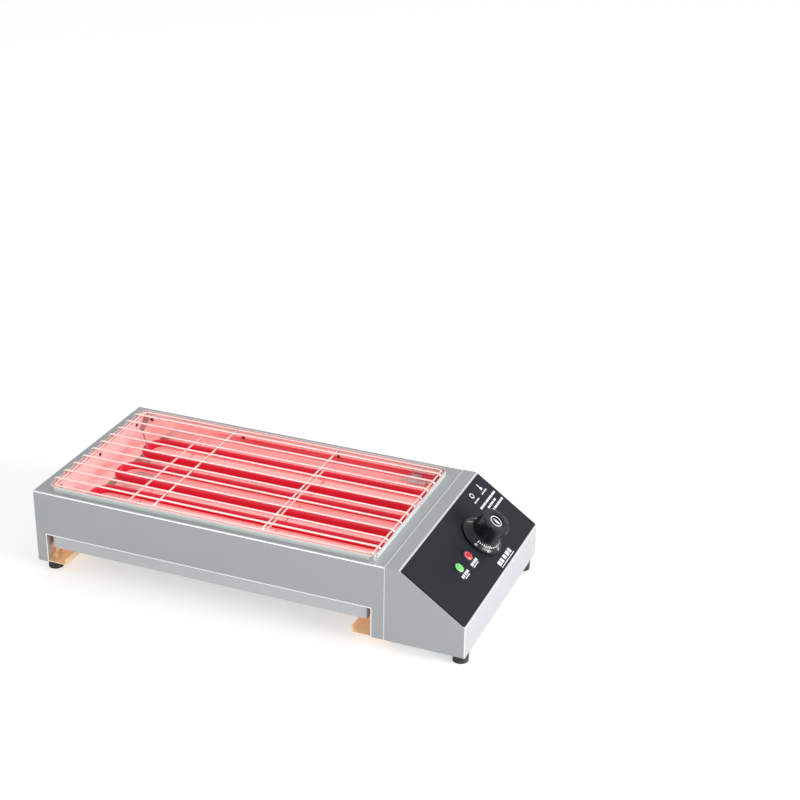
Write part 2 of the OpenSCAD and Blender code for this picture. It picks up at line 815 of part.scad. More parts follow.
module capillary_grommet() {
    color("black") in_frame() translate([chamber_l - sheet, bulb_y, bulb_z]) difference() {
        union() {
            bar_x(grommet_d, -grommet_t / 2, 0);
            bar_x(grommet_d - 2 * sheet - hole_play, 0, sheet);
            bar_x(grommet_d, sheet, grommet_t / 2 + sheet);
        }
        bar_x(capillary_d + hole_play, -grommet_t, grommet_t + sheet);
    }
}

// Thermostat and knob
module thermostat_body() {
    half = [thermostat_w, thermostat_l] / 2;
    back = thermostat_h + thermostat_flange_t;
    color("whitesmoke") in_frame() on_slope(knob_v, knob_y) translate([0, 0, -sheet]) difference() {
        union() {
            translate([0, 0, -thermostat_h - thermostat_flange_t]) linear_extrude(thermostat_h)
                polygon(rounded(box_points(-half, half), [for (k = [0:3]) thermostat_r]));
            translate([0, 0, -thermostat_flange_t])
                cylinder(h = thermostat_flange_t, d = thermostat_flange_d);
            cylinder(h = sheet + panel_t + bush_out, d = bush_d);
            for (k = [-1:1])
                translate([tag_w, k * tag_pitch - tag_w / 2, -back - tag_l + over])
                    cube([tag_t, tag_w, tag_l]);
        }
        translate([0, 0, -shaft_in - seat]) cylinder(h = back, d = shaft_d + hole_play);
        for (s = [-1, 1])
            translate([0, s * thermostat_screw_gap / 2, -pan_screw_in - seat])
                cylinder(h = pan_screw_in + over, d = thermostat_screw_d + hole_play);
    }
}
module thermostat_screws() {
    color(steel) in_frame() on_slope(knob_v, knob_y) for (s = [-1, 1])
        translate([0, s * thermostat_screw_gap / 2, 0]) {
            translate([0, 0, -sheet - pan_screw_in])
                cylinder(h = sheet + pan_screw_in + panel_t, d = thermostat_screw_d);
            translate([0, 0, panel_t]) cylinder(h = pan_h, d1 = pan_d, d2 = pan_d - screw_edge);
        }
}
module d_shaft(d, h, flat) {
    difference() {
        cylinder(h = h, d = d);
        translate([d / 2 - flat, -d, -over]) cube([d, 2 * d, h + 2 * over]);
    }
}
module thermostat_shaft() {
    color(steel) in_frame() on_slope(knob_v, knob_y) {
        translate([0, 0, -sheet - shaft_in])
            cylinder(h = sheet + shaft_in + panel_t + skirt_gap, d = shaft_d);
        translate([0, 0, panel_t + skirt_gap]) d_shaft(shaft_d, shaft_out, shaft_flat);
    }
}
module knob() {
    z0 = panel_t + skirt_gap;
    r = grip_d / 2;
    rim = skirt_d / 2;
    color("black") in_frame() on_slope(knob_v, knob_y) translate([0, 0, z0]) difference() {
        rotate_extrude() polygon(rounded([[0, 0], [rim, 0], [rim, skirt_edge_h],
            [rim - skirt_rim_w, skirt_edge_h + skirt_rim_rise], [r + knob_step, skirt_h],
            [r, skirt_h + knob_step], [r, knob_h], [0, knob_h]],
            [0, knob_step / 2, knob_step, knob_step, knob_step, 0, knob_edge_r, 0]));
        for (i = [0:flute_count - 1])
            rotate([0, 0, (i + 0.5) * 360 / flute_count])
                translate([r + flute_r - flute_in, 0, knob_h - flute_l])
                    cylinder(h = knob_h, r = flute_r);
        translate([0, 0, knob_h - dish_in]) cylinder(h = knob_h, d = dish_d);
        translate([0, 0, -over]) cylinder(h = skirt_h - knob_wall + over, d = grip_d - 2 * knob_wall);
        translate([0, 0, -over]) d_shaft(shaft_d + hole_play, shaft_out + seat + over, shaft_flat);
    }
}

// Pilot lamps
module lamp_lens(y) {
    r = lamp_d / 2 - bezel_w;
    color("red") in_frame() on_slope(lamp_v, y)
        translate([0, 0, panel_t + bezel_floor]) rotate_extrude()
            polygon(rounded([[0, 0], [r, 0], [r, lens_h / 2], [r / 2, lens_h], [0, lens_h]],
                [0, 0, bezel_floor, 2 * bezel_floor, 0]));
}
module green_lamp_lens() { lamp_lens(green_y); }
module red_lamp_lens() { lamp_lens(red_y); }
module lamp_body(y) {
    color("white") in_frame() on_slope(lamp_v, y) {
        translate([0, 0, panel_t]) difference() {
            cylinder(h = bezel_h, d1 = lamp_d, d2 = lamp_d - bezel_w);
            translate([0, 0, bezel_floor]) cylinder(h = lens_h, d = lamp_d - 2 * bezel_w + hole_play);
        }
        translate([0, 0, -lamp_barrel_l]) cylinder(h = lamp_barrel_l + panel_t, d = lamp_barrel_d);
        for (s = [-1, 1])
            translate([-lamp_tab_w / 2, s * lamp_tab_y - lamp_tab_t / 2, -lamp_barrel_l - lamp_tab_l])
                cube([lamp_tab_w, lamp_tab_t, lamp_tab_l]);
    }
}
module green_lamp_body() { lamp_body(green_y); }
module red_lamp_body() { lamp_body(red_y); }
module lamp_nuts() {
    color("white") in_frame() for (y = [green_y, red_y]) on_slope(lamp_v, y)
        translate([0, 0, -sheet - lamp_nut_t]) difference() {
            cylinder(h = lamp_nut_t, d = lamp_nut_w, $fn = 6);
            translate([0, 0, -over]) cylinder(h = lamp_nut_t + 2 * over, d = lamp_barrel_d + hole_play);
        }
}

// Terminal block, wires, earth stud and cord bushing
block_lo = [box_x + bushing_x - block_w / 2, block_y, sheet];
module terminal_block() {
    color("wheat") in_frame() translate(block_lo) difference() {
        cube([block_w, block_l, block_h]);
        for (i = [0:block_ways]) {
            y = i * block_l / block_ways;
            translate([-over, y - rib_gap / 2, block_h / 2]) cube([block_w + 2 * over, rib_gap, block_h]);
        }
        for (i = [0:block_ways - 1], x = [block_w / 4, block_w * 3 / 4])
            translate([x, (i + 0.5) * block_l / block_ways, block_h - terminal_screw_l])
                cylinder(h = block_h, d = terminal_screw_d);
    }
}
module terminal_screws() {
    color("gold") in_frame() translate(block_lo)
        for (i = [0:block_ways - 1], x = [block_w / 4, block_w * 3 / 4])
            translate([x, (i + 0.5) * block_l / block_ways, block_h - terminal_screw_l]) difference() {
                cylinder(h = terminal_screw_l - terminal_sunk, d = terminal_screw_d);
                translate([-block_w / 2, -slot_w / 2, terminal_screw_l - 2 * terminal_sunk])
                    cube([block_w, slot_w, block_h]);
            }
}
module heater_wires() {
    x0 = tube_end_x + pin_out;
    x1 = x0 + wire_core_d;
    color("white") in_frame() for (i = [0:2], s = [0, 1]) {
        y = tube_ys[i] + (2 * s - 1) * run_r;
        lane = lowest_lane + (5 - 2 * i - s) * lane_gap;
        x2 = block_lo[0] + block_w * (s == 1 ? 1 : 3) / 4;
        y2 = block_lo[1] + (i + 0.5) * block_l / block_ways;
        wire([[x0, y, tube_z], [x1, y, tube_z], [x1, y, lane], [x1, y2, lane], [x2, y2, lane],
            [x2, y2, sheet + block_h]], wire_core_d);
    }
}
// Two wires from each lamp to the free ways of the block
module lamp_wires() {
    back = [sin(slope_a), cos(slope_a)];
    tab = [slope_x + lamp_v * cos(slope_a), body_h - lamp_v * sin(slope_a)]
        - (lamp_barrel_l + lamp_tab_l) * back;
    lead = tab - lamp_lead * back;
    top = sheet + block_h;
    color("yellow") in_frame() for (i = [0, 1], s = [0, 1]) {
        y = [green_y, red_y][i] + (2 * s - 1) * lamp_tab_y;
        lane = top + lamp_lane_shares[i] * (lead[1] - top);
        x2 = block_lo[0] + block_w * (s == 1 ? 3 : 1) / 4;
        y2 = block_lo[1] + (i + 3.5) * block_l / block_ways;
        wire([[tab[0], y, tab[1]], [lead[0], y, lead[1]], [lead[0], y, lane], [x2, y2, lane],
            [x2, y2, top]], lamp_wire_d);
    }
}
module cord_bushing() {
    color("black") in_frame() translate([box_x + bushing_x, body_w, bushing_z]) difference() {
        union() {
            bar_y(bushing_flange_d, 0, bushing_flange_t);
            bar_y(bushing_neck_d, -sheet, 0);
            bar_y(bushing_neck_d + 2 * bushing_lip, -bushing_in, -sheet);
        }
        bar_y(2 * bushing_bore_r, -bushing_in - over, bushing_flange_t + over);
    }
}
module earth_stud() {
    color("gold") in_frame()
        translate([box_x + bushing_x + earth_at[0], body_w - earth_at[1], sheet]) {
            cylinder(h = earth_h, d = screw_d);
            cylinder(h = foot_nut_t, d = foot_nut_d, $fn = 6);
        }
}

// Grate: a frame of round wire inside the collar, lengthwise rods on it, cross rods under them
module grate_frame() {
    color("white") in_frame() translate([0, 0, frame_z])
        wire_loop(frame_lo, frame_hi, frame_r, wire_d);
}
// The left tips hook over the collar, and the right tips stand inside it on the liner's edge
module grate_rods() {
    bend = wire_d;
    x0 = collar_lo[0] - tip_gap - wire_d / 2;
    x1 = well_hi[0] + tip_lap - wire_d / 2;
    ends = [[x0, 0, tip_drop], [x1, 1, rod_z - body_h - seat]];
    color("white") in_frame() for (i = [0:rod_count - 1])
        translate([0, mid[1] + (i - (rod_count - 1) / 2) * rod_pitch, rod_z]) {
            bar_x(wire_d, x0 + bend, x1 - bend);
            for (e = ends) translate([e[0], 0, 0]) mirror([e[1], 0, 0]) {
                translate([bend, 0, -bend]) rotate([90, 0, 0]) rotate([0, 0, 90])
                    rotate_extrude(angle = 90) translate([bend, 0]) circle(d = wire_d);
                translate([0, 0, -e[2]]) cylinder(h = e[2] - bend, d = wire_d);
            }
        }
}
module grate_cross_rods() {
    color("white") in_frame() for (s = cross_shares)
        translate([frame_lo[0] + s * (frame_hi[0] - frame_lo[0]), 0, cross_z])
            bar_y(cross_d, frame_lo[1] + wire_d / 2 - weld, frame_hi[1] - wire_d / 2 + weld);
}

chamber_shell();
grate_collar();
chamber_liner();
partition_wall();
control_box_cover();
control_box_bottom();
control_panel();
left_base_rail();
right_base_rail();
left_tray_runner();
right_tray_runner();
front_left_foot();
back_left_foot();
front_right_foot();
back_right_foot();
foot_screws();
liner_rivets();
cover_screws();
front_heating_tube();
middle_heating_tube();
rear_heating_tube();
tube_bushings();
tube_nuts();
tube_pins();
tube_support_bar();
left_tube_cradle();
right_tube_cradle();
tube_tie();
sensor_bulb();
sensor_clip();
capillary();
capillary_grommet();
thermostat_body();
thermostat_screws();
thermostat_shaft();
knob();
green_lamp_lens();
red_lamp_lens();
green_lamp_body();
red_lamp_body();
lamp_nuts();
terminal_block();
terminal_screws();
heater_wires();
lamp_wires();
earth_stud();
cord_bushing();
drip_tray();
grate_frame();
grate_rods();
grate_cross_rods();
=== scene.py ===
"""Electric skewer grill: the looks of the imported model, lit and seen as in the photograph.

The file follows the grill as it is put together: casing, rails, chamber, tray, tubes, terminals,
thermostat sensor, control panel, pilot lamps, knob, grate and feet. Camera, table and lamps are
placed in metres. Lengths in the sections after them are millimetres, which MM turns into metres,
because every mesh is written in metres in the model's own frame.
"""
import json
import math

import bmesh
import bpy
import numpy as np
from mathutils import Matrix, Vector


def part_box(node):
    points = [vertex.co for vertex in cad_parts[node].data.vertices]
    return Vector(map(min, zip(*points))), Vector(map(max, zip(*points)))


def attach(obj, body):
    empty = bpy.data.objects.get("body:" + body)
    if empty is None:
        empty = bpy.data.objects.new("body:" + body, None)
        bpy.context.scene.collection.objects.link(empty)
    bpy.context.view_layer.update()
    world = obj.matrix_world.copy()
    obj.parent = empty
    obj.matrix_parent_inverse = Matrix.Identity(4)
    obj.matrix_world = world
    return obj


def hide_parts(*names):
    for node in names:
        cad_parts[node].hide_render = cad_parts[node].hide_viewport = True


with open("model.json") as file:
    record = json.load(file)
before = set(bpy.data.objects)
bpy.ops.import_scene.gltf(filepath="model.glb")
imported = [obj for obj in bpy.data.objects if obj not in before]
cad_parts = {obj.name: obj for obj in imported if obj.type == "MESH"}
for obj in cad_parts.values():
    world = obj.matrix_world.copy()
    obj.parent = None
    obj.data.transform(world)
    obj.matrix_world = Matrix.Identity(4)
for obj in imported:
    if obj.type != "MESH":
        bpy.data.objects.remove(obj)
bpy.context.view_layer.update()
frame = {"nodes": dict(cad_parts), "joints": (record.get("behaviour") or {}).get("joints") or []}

# The view. A camera about a metre above the table, to the right of the grill's middle, with a
# long lens: place, turn and lens come from fitting the photograph's perspective to the casing.
CAMERA_PLACE = (0.727736, -1.505557, 0.990087)
AZIMUTH, ELEVATION, ROLL = (math.radians(a) for a in (21.6745, 25.2535, 0.777))
SENSOR_WIDTH, LENS, NEAR, FAR = 36.0, 78.385, 0.05, 60.0

camera = bpy.data.objects.new("camera", bpy.data.cameras.new("camera"))
bpy.context.scene.collection.objects.link(camera)
level = Vector((math.cos(AZIMUTH), math.sin(AZIMUTH), 0))
ahead = Vector((-math.sin(AZIMUTH) * math.cos(ELEVATION),
                math.cos(AZIMUTH) * math.cos(ELEVATION), -math.sin(ELEVATION)))
upright = level.cross(ahead)
right = math.cos(ROLL) * level + math.sin(ROLL) * upright
above = math.cos(ROLL) * upright - math.sin(ROLL) * level
turn = Matrix((right, above, -ahead)).transposed().to_4x4()
camera.matrix_world = Matrix.Translation(CAMERA_PLACE) @ turn
camera.data.sensor_width, camera.data.lens = SENSOR_WIDTH, LENS
camera.data.clip_start, camera.data.clip_end = NEAR, FAR
bpy.context.scene.camera = camera
bpy.context.scene.view_settings.view_transform = "Standard"


# The table and the light. A plain white table top under soft studio light: a big soft lamp from
# the right, a weaker one from the front left, and an even pale surround.
def tone(red, green, blue):
    """A colour as a screen shows it, 0 to 255, turned into the linear values a shader reads."""
    c = np.array([red, green, blue]) / 255.0
    return (*np.where(c <= 0.04045, c / 12.92, ((c + 0.055) / 1.055) ** 2.4).tolist(), 1.0)


def new_finish(name, colour, **sockets):
    """A material with one Principled shader. Sockets are given by name, with _ for a space."""
    material = bpy.data.materials.new(name)
    material.use_nodes = True
    shader = material.node_tree.nodes["Principled BSDF"]
    shader.inputs["Base Color"].default_value = colour
    for socket, value in sockets.items():
        shader.inputs[socket.replace("_", " ")].default_value = value
    return material


def add_node(material, kind, links=(), **settings):
    """One more node. links are (input name, output socket); settings are inputs or attributes."""
    node = material.node_tree.nodes.new(kind)
    for key, value in settings.items():
        if hasattr(node, key):
            setattr(node, key, value)
        else:
            node.inputs[key.replace("_", " ")].default_value = value
    for socket, source in links:
        material.node_tree.links.new(source, node.inputs[socket])
    return node


def shader_of(material):
    """A material's one shader."""
    return material.node_tree.nodes["Principled BSDF"]


def feed(material, socket, source):
    """Links a node's output socket to a socket of the shader."""
    material.node_tree.links.new(source, shader_of(material).inputs[socket])


def arithmetic(owner, operation, *terms):
    """One Math node over sockets and plain numbers. Gives its output socket."""
    node = add_node(owner, "ShaderNodeMath", operation=operation)
    for socket, term in zip(node.inputs, terms):
        if isinstance(term, (int, float)):
            socket.default_value = term
        else:
            owner.node_tree.links.new(term, socket)
    return node.outputs[0]


def seen_straight(owner):
    """1 for a ray from the camera, off a gloss or through clear plastic, 0 for scattered light."""
    path = add_node(owner, "ShaderNodeLightPath").outputs
    straight = arithmetic(owner, "MAXIMUM", path["Is Camera Ray"], path["Is Glossy Ray"])
    return arithmetic(owner, "MAXIMUM", straight, path["Is Transmission Ray"])


TABLE_HALF, TABLE_LIFT, SURROUND = 9.0, 0.45, 0.6
corner = np.array([[-1, -1, 0], [1, -1, 0], [1, 1, 0], [-1, 1, 0]]) * TABLE_HALF
table_mesh = bpy.data.meshes.new("table_top")
table_mesh.from_pydata(corner.tolist(), [], [(0, 1, 2, 3)])
table_top = bpy.data.objects.new("table_top", table_mesh)
bpy.context.scene.collection.objects.link(table_top)
table_finish = new_finish("table_white", tone(236, 236, 236), Roughness=0.9,
                          Specular_IOR_Level=0.1, Emission_Color=(1, 1, 1, 1))
feed(table_finish, "Emission Strength",
     arithmetic(table_finish, "MULTIPLY", seen_straight(table_finish), TABLE_LIFT))
table_mesh.materials.append(table_finish)

world = bpy.data.worlds.new("surround")
bpy.context.scene.world = world
world.use_nodes = True
sky = world.node_tree.nodes["Background"]
sky.inputs["Color"].default_value = (1.0, 1.0, 1.0, 1.0)
world.node_tree.links.new(
    arithmetic(world, "MULTIPLY_ADD", seen_straight(world), 1 - SURROUND, SURROUND),
    sky.inputs["Strength"])


def soft_lamp(name, place, target, size, power, colour=(1, 1, 1)):
    """A rectangular lamp of size (width, height) in metres at place, facing target."""
    data = bpy.data.lights.new(name, "AREA")
    data.shape = "RECTANGLE"
    data.size, data.size_y = size
    data.energy = power
    data.color = colour
    lamp = bpy.data.objects.new(name, data)
    bpy.context.scene.collection.objects.link(lamp)
    lamp.location = place
    lamp.rotation_mode = "QUATERNION"
    aim = Vector(target) - Vector(place)
    lamp.rotation_quaternion = aim.to_track_quat("-Z", "Y")
    lamp.visible_camera = False
    return lamp


KEY_PLACE, KEY_AIM, KEY_SIZE, KEY_WATTS = (2.35, -0.1, 0.45), (0.2, 0, 0.06), (1.6, 0.8), 68
FILL_PLACE, FILL_AIM, FILL_SIZE, FILL_WATTS = (-0.5, -1.9, 0.35), (-0.05, 0, 0.03), (1.4, 0.6), 5
soft_lamp("key_lamp", KEY_PLACE, KEY_AIM, KEY_SIZE, KEY_WATTS)
soft_lamp("fill_lamp", FILL_PLACE, FILL_AIM, FILL_SIZE, FILL_WATTS)


# Casing. Folded stainless sheet with a fine grain along its length, and a sheet collar round the
# opening. Folds, the edge of the cut-out and the seam by the control box carry a painted
# highlight: a paler colour, on a smoother face of full metal.
MM = 0.001
RELIEF = 0.2 * MM


def scaled(colour, factor):
    """A colour made darker or lighter by a factor, with no part above 1."""
    return (*np.minimum(factor * np.array(colour[:3]), 1).tolist(), 1)


def shaded(material, level, stops):
    """A colour ramp over a socket. stops are (level, colour) from the lowest to the highest."""
    node = add_node(material, "ShaderNodeValToRGB", [(0, level)])
    elements = node.color_ramp.elements
    for element, (place, colour) in zip(elements, (stops[0], stops[-1])):
        element.position, element.color = place, colour
    for place, colour in stops[1:-1]:
        elements.new(place).color = colour
    return node.outputs[0]


def put(material, socket, value):
    """A number or colour on the shader's own socket."""
    shader_of(material).inputs[socket].default_value = value


def brushed_steel(name, colour, roughness, grain=(5.0, 1400.0, 1400.0), depth=0.05, metallic=1.0):
    """Sheet with drawn-out grain: noise stretched along X varies its tone, gloss and relief."""
    material = new_finish(name, colour, Metallic=metallic)
    place = add_node(material, "ShaderNodeTexCoord").outputs["Object"]
    drawn = add_node(material, "ShaderNodeMapping", [("Vector", place)], Scale=grain)
    lines = add_node(material, "ShaderNodeTexNoise", [("Vector", drawn.outputs[0])],
                     Scale=1.0, Detail=3.0, Roughness=0.6)
    cloud = add_node(material, "ShaderNodeTexNoise", [("Vector", place)], Scale=9.0, Detail=2.0)
    both = add_node(material, "ShaderNodeMath", [(0, lines.outputs[0]), (1, cloud.outputs[0])],
                    operation="ADD")
    gloss = add_node(material, "ShaderNodeMapRange", [(0, both.outputs[0])], From_Min=0.7,
                     From_Max=1.3, To_Min=roughness - 0.05, To_Max=roughness + 0.07)
    feed(material, "Roughness", gloss.outputs[0])
    feed(material, "Base Color", shaded(material, both.outputs[0], [
        (0.6, scaled(colour, 0.95)), (1.0, scaled(colour, 1.04))]))
    bump = add_node(material, "ShaderNodeBump", [("Height", lines.outputs[0])],
                    Strength=depth, Distance=RELIEF)
    feed(material, "Normal", bump.outputs[0])
    return material


def largest_part(owner, vector):
    """The largest of a vector's three sizes, signs aside."""
    sizes = add_node(owner, "ShaderNodeVectorMath", [(0, vector)], operation="ABSOLUTE").outputs[0]
    x, y, z = add_node(owner, "ShaderNodeSeparateXYZ", [(0, sizes)]).outputs
    return arithmetic(owner, "MAXIMUM", arithmetic(owner, "MAXIMUM", x, y), z)


FOLD_BELOW = 0.96


def on_fold(owner):
    """1 where a sheet turns a corner: there its normal lies along no axis, so that even its
    largest part stays below FOLD_BELOW."""
    normal = add_node(owner, "ShaderNodeNewGeometry").outputs["True Normal"]
    return arithmetic(owner, "LESS_THAN", largest_part(owner, normal), FOLD_BELOW)


def inside_box(owner, low, high):
    """1 between two corners given in metres, 0 outside them."""
    middle, half = (np.array(high) + low) / 2, (np.array(high) - low) / 2
    place = add_node(owner, "ShaderNodeTexCoord").outputs["Object"]
    away = add_node(owner, "ShaderNodeVectorMath", [(0, place)], operation="SUBTRACT")
    away.inputs[1].default_value = middle.tolist()
    share = add_node(owner, "ShaderNodeVectorMath", [(0, away.outputs[0])], operation="DIVIDE")
    share.inputs[1].default_value = half.tolist()
    return arithmetic(owner, "LESS_THAN", largest_part(owner, share.outputs[0]), 1.0)


def tint(material, where, colour):
    """Another base colour where a mask is 1."""
    plain = shader_of(material).inputs["Base Color"].links[0].from_socket
    both = add_node(material, "ShaderNodeMix", [(0, where), (6, plain)], data_type="RGBA")
    both.inputs[7].default_value = colour
    feed(material, "Base Color", both.outputs[2])


CASING_TONE, EDGE_HIGHLIGHT_TONE, EDGE_ROUGHNESS = tone(168, 171, 174), tone(230, 232, 232), 0.25


def paint_edge_highlight(material, *masks):
    """A painted highlight where a mask is 1: a paler colour, with a smoother face and full metal.
    """
    where = masks[0]
    for mask in masks[1:]:
        where = arithmetic(material, "MAXIMUM", where, mask)
    tint(material, where, EDGE_HIGHLIGHT_TONE)
    shader = shader_of(material)
    dull = shader.inputs["Roughness"].links[0].from_socket
    over = arithmetic(material, "SUBTRACT", dull, EDGE_ROUGHNESS)
    less = arithmetic(material, "MULTIPLY", where, over)
    feed(material, "Roughness", arithmetic(material, "SUBTRACT", dull, less))
    metal = shader.inputs["Metallic"].default_value
    feed(material, "Metallic", arithmetic(material, "MULTIPLY_ADD", where, 1 - metal, metal))


def dress(material, *names):
    """Gives CAD nodes a finish through their objects' own material slots."""
    for name in names:
        piece = frame["nodes"][name]
        if not piece.material_slots:
            piece.data.materials.append(None)
        for used in piece.material_slots:
            used.material = material


casing_look = {"roughness": 0.42, "metallic": 0.35}
collar_steel = brushed_steel("collar_steel", tone(216, 223, 219), 0.35, metallic=0.5)
# The collar's folds and round corners get a painted highlight.
paint_edge_highlight(collar_steel, on_fold(collar_steel))
dress(collar_steel, "grate_collar")

CUT_INSET, CUT_HEIGHT, CUT_EDGE, SEAM_EDGE, PAST = 14.0, 34.0, 1.2, 0.8, 1.0
shell_low, shell_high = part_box("chamber_shell")
shell_steel = brushed_steel("shell_steel", CASING_TONE, **casing_look)
cut_low = shell_low + MM * Vector((CUT_INSET - CUT_EDGE, -PAST, -PAST))
cut_high = Vector((shell_high.x - MM * (CUT_INSET - CUT_EDGE), shell_low.y + MM * PAST,
                   shell_low.z + MM * (CUT_HEIGHT + CUT_EDGE)))
paint_edge_highlight(shell_steel, on_fold(shell_steel), inside_box(shell_steel, cut_low, cut_high))
dress(shell_steel, "chamber_shell")

cover_low, cover_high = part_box("control_box_cover")
cover_steel = brushed_steel("cover_steel", CASING_TONE, **casing_look)
seam_low = cover_low - MM * Vector((PAST, PAST, PAST))
seam_high = cover_high + MM * Vector((PAST, PAST, PAST))
seam_high.x = cover_low.x + MM * SEAM_EDGE
paint_edge_highlight(cover_steel, on_fold(cover_steel), inside_box(cover_steel, seam_low, seam_high))
dress(cover_steel, "control_box_cover")

plain_steel = brushed_steel("plain_steel", tone(170, 170, 170), 0.45, grain=(9.0, 700.0, 700.0))
dress(plain_steel, "partition_wall", "control_box_bottom", "cover_screws", "thermostat_screws",
      "thermostat_shaft", "tube_pins")

# Base rails and tray runners, with the screws of the feet. Zinc-plated channels across the bottom,
# in a warm yellow tone with faint cloudy bands. A little light of their own stands for what the
# white table throws up into the dark behind the cut-out.
RAIL_LIGHT = 0.2
warm_zinc = brushed_steel("warm_toned_zinc", tone(236, 204, 166), 0.35, grain=(60.0, 9.0, 60.0),
                           depth=0.03, metallic=0.3)
put(warm_zinc, "Emission Color", tone(238, 200, 160))
put(warm_zinc, "Emission Strength", RAIL_LIGHT)
dress(warm_zinc, "left_base_rail", "right_base_rail", "left_tray_runner", "right_tray_runner",
      "foot_screws")

# Chamber liner. A sheet frame with drawn walls, riveted to the collar. The glow of the tubes,
# thrown back and forth between its bright walls, is partly its own light and partly its pale pink
# base colour, which is painted glow. A red band high on the back wall, faded in from the left, is
# a painted reflection of the tubes.
PINK_LIGHT, LINER_LIGHT = tone(255, 150, 147), 0.2
BAND_START, BAND_FULL, BAND_TOP, BAND_LOW, BAND_DEPTH = 0.16, 0.4, 5.0, 15.0, 14.0
BAND_REFLECTION_TONE, BAND_LIGHT = tone(196, 104, 112), tone(196, 30, 46)
# The pale pink base colour is painted glow from the tubes.
liner_steel = brushed_steel("liner_steel", tone(228, 206, 206), 0.2, grain=(4.0, 500.0, 500.0),
                            depth=0.02, metallic=0.35)
liner_low, liner_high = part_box("chamber_liner")
span = liner_high.x - liner_low.x
band_low = Vector((liner_low.x, liner_high.y - MM * BAND_DEPTH, liner_high.z - MM * BAND_LOW))
band_high = Vector((liner_high.x, liner_high.y, liner_high.z - MM * BAND_TOP))
along_wall = add_node(liner_steel, "ShaderNodeTexCoord").outputs["Object"]
reach = add_node(liner_steel, "ShaderNodeSeparateXYZ", [(0, along_wall)]).outputs["X"]
rising = add_node(liner_steel, "ShaderNodeMapRange", [(0, reach)],
                  interpolation_type="SMOOTHSTEP", From_Min=liner_low.x + BAND_START * span,
                  From_Max=liner_low.x + BAND_FULL * span)
in_band = arithmetic(liner_steel, "MULTIPLY", rising.outputs[0],
                     inside_box(liner_steel, band_low, band_high))
# Painted reflection of the tubes: a red band high on the back wall.
tint(liner_steel, in_band, BAND_REFLECTION_TONE)
band = add_node(liner_steel, "ShaderNodeMix", [(0, in_band)], data_type="RGBA")
band.inputs[6].default_value, band.inputs[7].default_value = PINK_LIGHT, BAND_LIGHT
feed(liner_steel, "Emission Color", band.outputs[2])
put(liner_steel, "Emission Strength", LINER_LIGHT)
dress(liner_steel, "chamber_liner")

# Drip tray. A shallow tray of folded sheet under the tubes, slid in from the front on the runners.
# Its back wall, seen below the liner's edge, has a little light of its own for the liner's glow.
TRAY_LIGHT, TRAY_BACK = 0.4, 2.0
tray_steel = brushed_steel("tray_steel", tone(188, 190, 192), 0.36, grain=(4.0, 500.0, 500.0),
                           metallic=0.35)
tray_low, tray_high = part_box("drip_tray")
back_low = Vector((tray_low.x, tray_high.y - MM * TRAY_BACK, tray_low.z))
back_wall = inside_box(tray_steel, back_low, tray_high + MM * Vector((0, PAST, 0)))
put(tray_steel, "Emission Color", PINK_LIGHT)
feed(tray_steel, "Emission Strength", arithmetic(tray_steel, "MULTIPLY", back_wall, TRAY_LIGHT))
dress(tray_steel, "drip_tray")

# Fittings of the chamber. Rivets dark with heat, the strap and wire that tie the bends to the back
# wall, the flat bar under the bends, and two closed wire loops round all the tubes.
heat_dark = brushed_steel("heat_darkened_steel", tone(96, 84, 84), 0.4, grain=(40.0, 40.0, 40.0))
dress(heat_dark, "liner_rivets")
# Its pinkish tone is painted glow from the tubes.
strap_steel = brushed_steel("strap_steel", tone(172, 134, 140), 0.4, grain=(40.0, 40.0, 40.0),
                            metallic=0.5)
dress(strap_steel, "tube_tie")
support_steel = brushed_steel("support_steel", tone(150, 146, 128), 0.4, grain=(9.0, 60.0, 60.0))
dress(support_steel, "tube_support_bar")
# Their pale pink tint is painted glow from the tubes.
cradle_steel = brushed_steel("cradle_steel", tone(240, 214, 210), 0.3, grain=(50.0, 50.0, 50.0),
                             metallic=0.4)
dress(cradle_steel, "left_tube_cradle", "right_tube_cradle")

# Heating tubes. Three U-bent sheathed tubes, red-hot over their whole length. Their colour is
# painted by which way each face turns: a painted reflection of the floor's pale pink underneath,
# painted shade on the lower edge and a painted highlight on top. Two lamps in the chamber stand
# for the light they give.
TUBE_UNDER_REFLECTION, TUBE_LOW_SHADE, TUBE_RED, TUBE_TOP_HIGHLIGHT = (
    tone(246, 150, 152), tone(150, 8, 30), tone(206, 9, 38), tone(222, 40, 62))
SIDE_LEVEL, UP_SHARE, CLOUD_SHARE = 0.48, 0.5, 0.06
GLOW, GLOW_SIZE, GLOW_BELOW, GLOW_OVER = (1.0, 0.3, 0.28), (0.35, 0.19), 3.0, 1.0
tube_glow = new_finish("hot_tube", tone(205, 10, 38), Roughness=0.5, Emission_Strength=0.25,
                       Specular_IOR_Level=0.25)
hot_place = add_node(tube_glow, "ShaderNodeTexCoord").outputs["Object"]
hot_cloud = add_node(tube_glow, "ShaderNodeTexNoise", [("Vector", hot_place)],
                     Scale=60.0, Detail=2.0)
tube_facing = add_node(tube_glow, "ShaderNodeNewGeometry").outputs["Normal"]
tube_up = add_node(tube_glow, "ShaderNodeSeparateXYZ", [(0, tube_facing)]).outputs["Z"]
tube_lit_level = arithmetic(tube_glow, "MULTIPLY_ADD", hot_cloud.outputs[0], CLOUD_SHARE,
                       arithmetic(tube_glow, "MULTIPLY_ADD", tube_up, UP_SHARE, SIDE_LEVEL))
# Painted light by facing: pink reflection underneath, shaded lower edge, highlight on top.
tube_painted_light = shaded(tube_glow, tube_lit_level, [(0.4, TUBE_UNDER_REFLECTION), (0.45, TUBE_LOW_SHADE), (0.6, TUBE_RED),
                                          (0.9, TUBE_RED), (0.99, TUBE_TOP_HIGHLIGHT)])
feed(tube_glow, "Base Color", tube_painted_light)
feed(tube_glow, "Emission Color", tube_painted_light)
dress(tube_glow, "front_heating_tube", "middle_heating_tube", "rear_heating_tube")

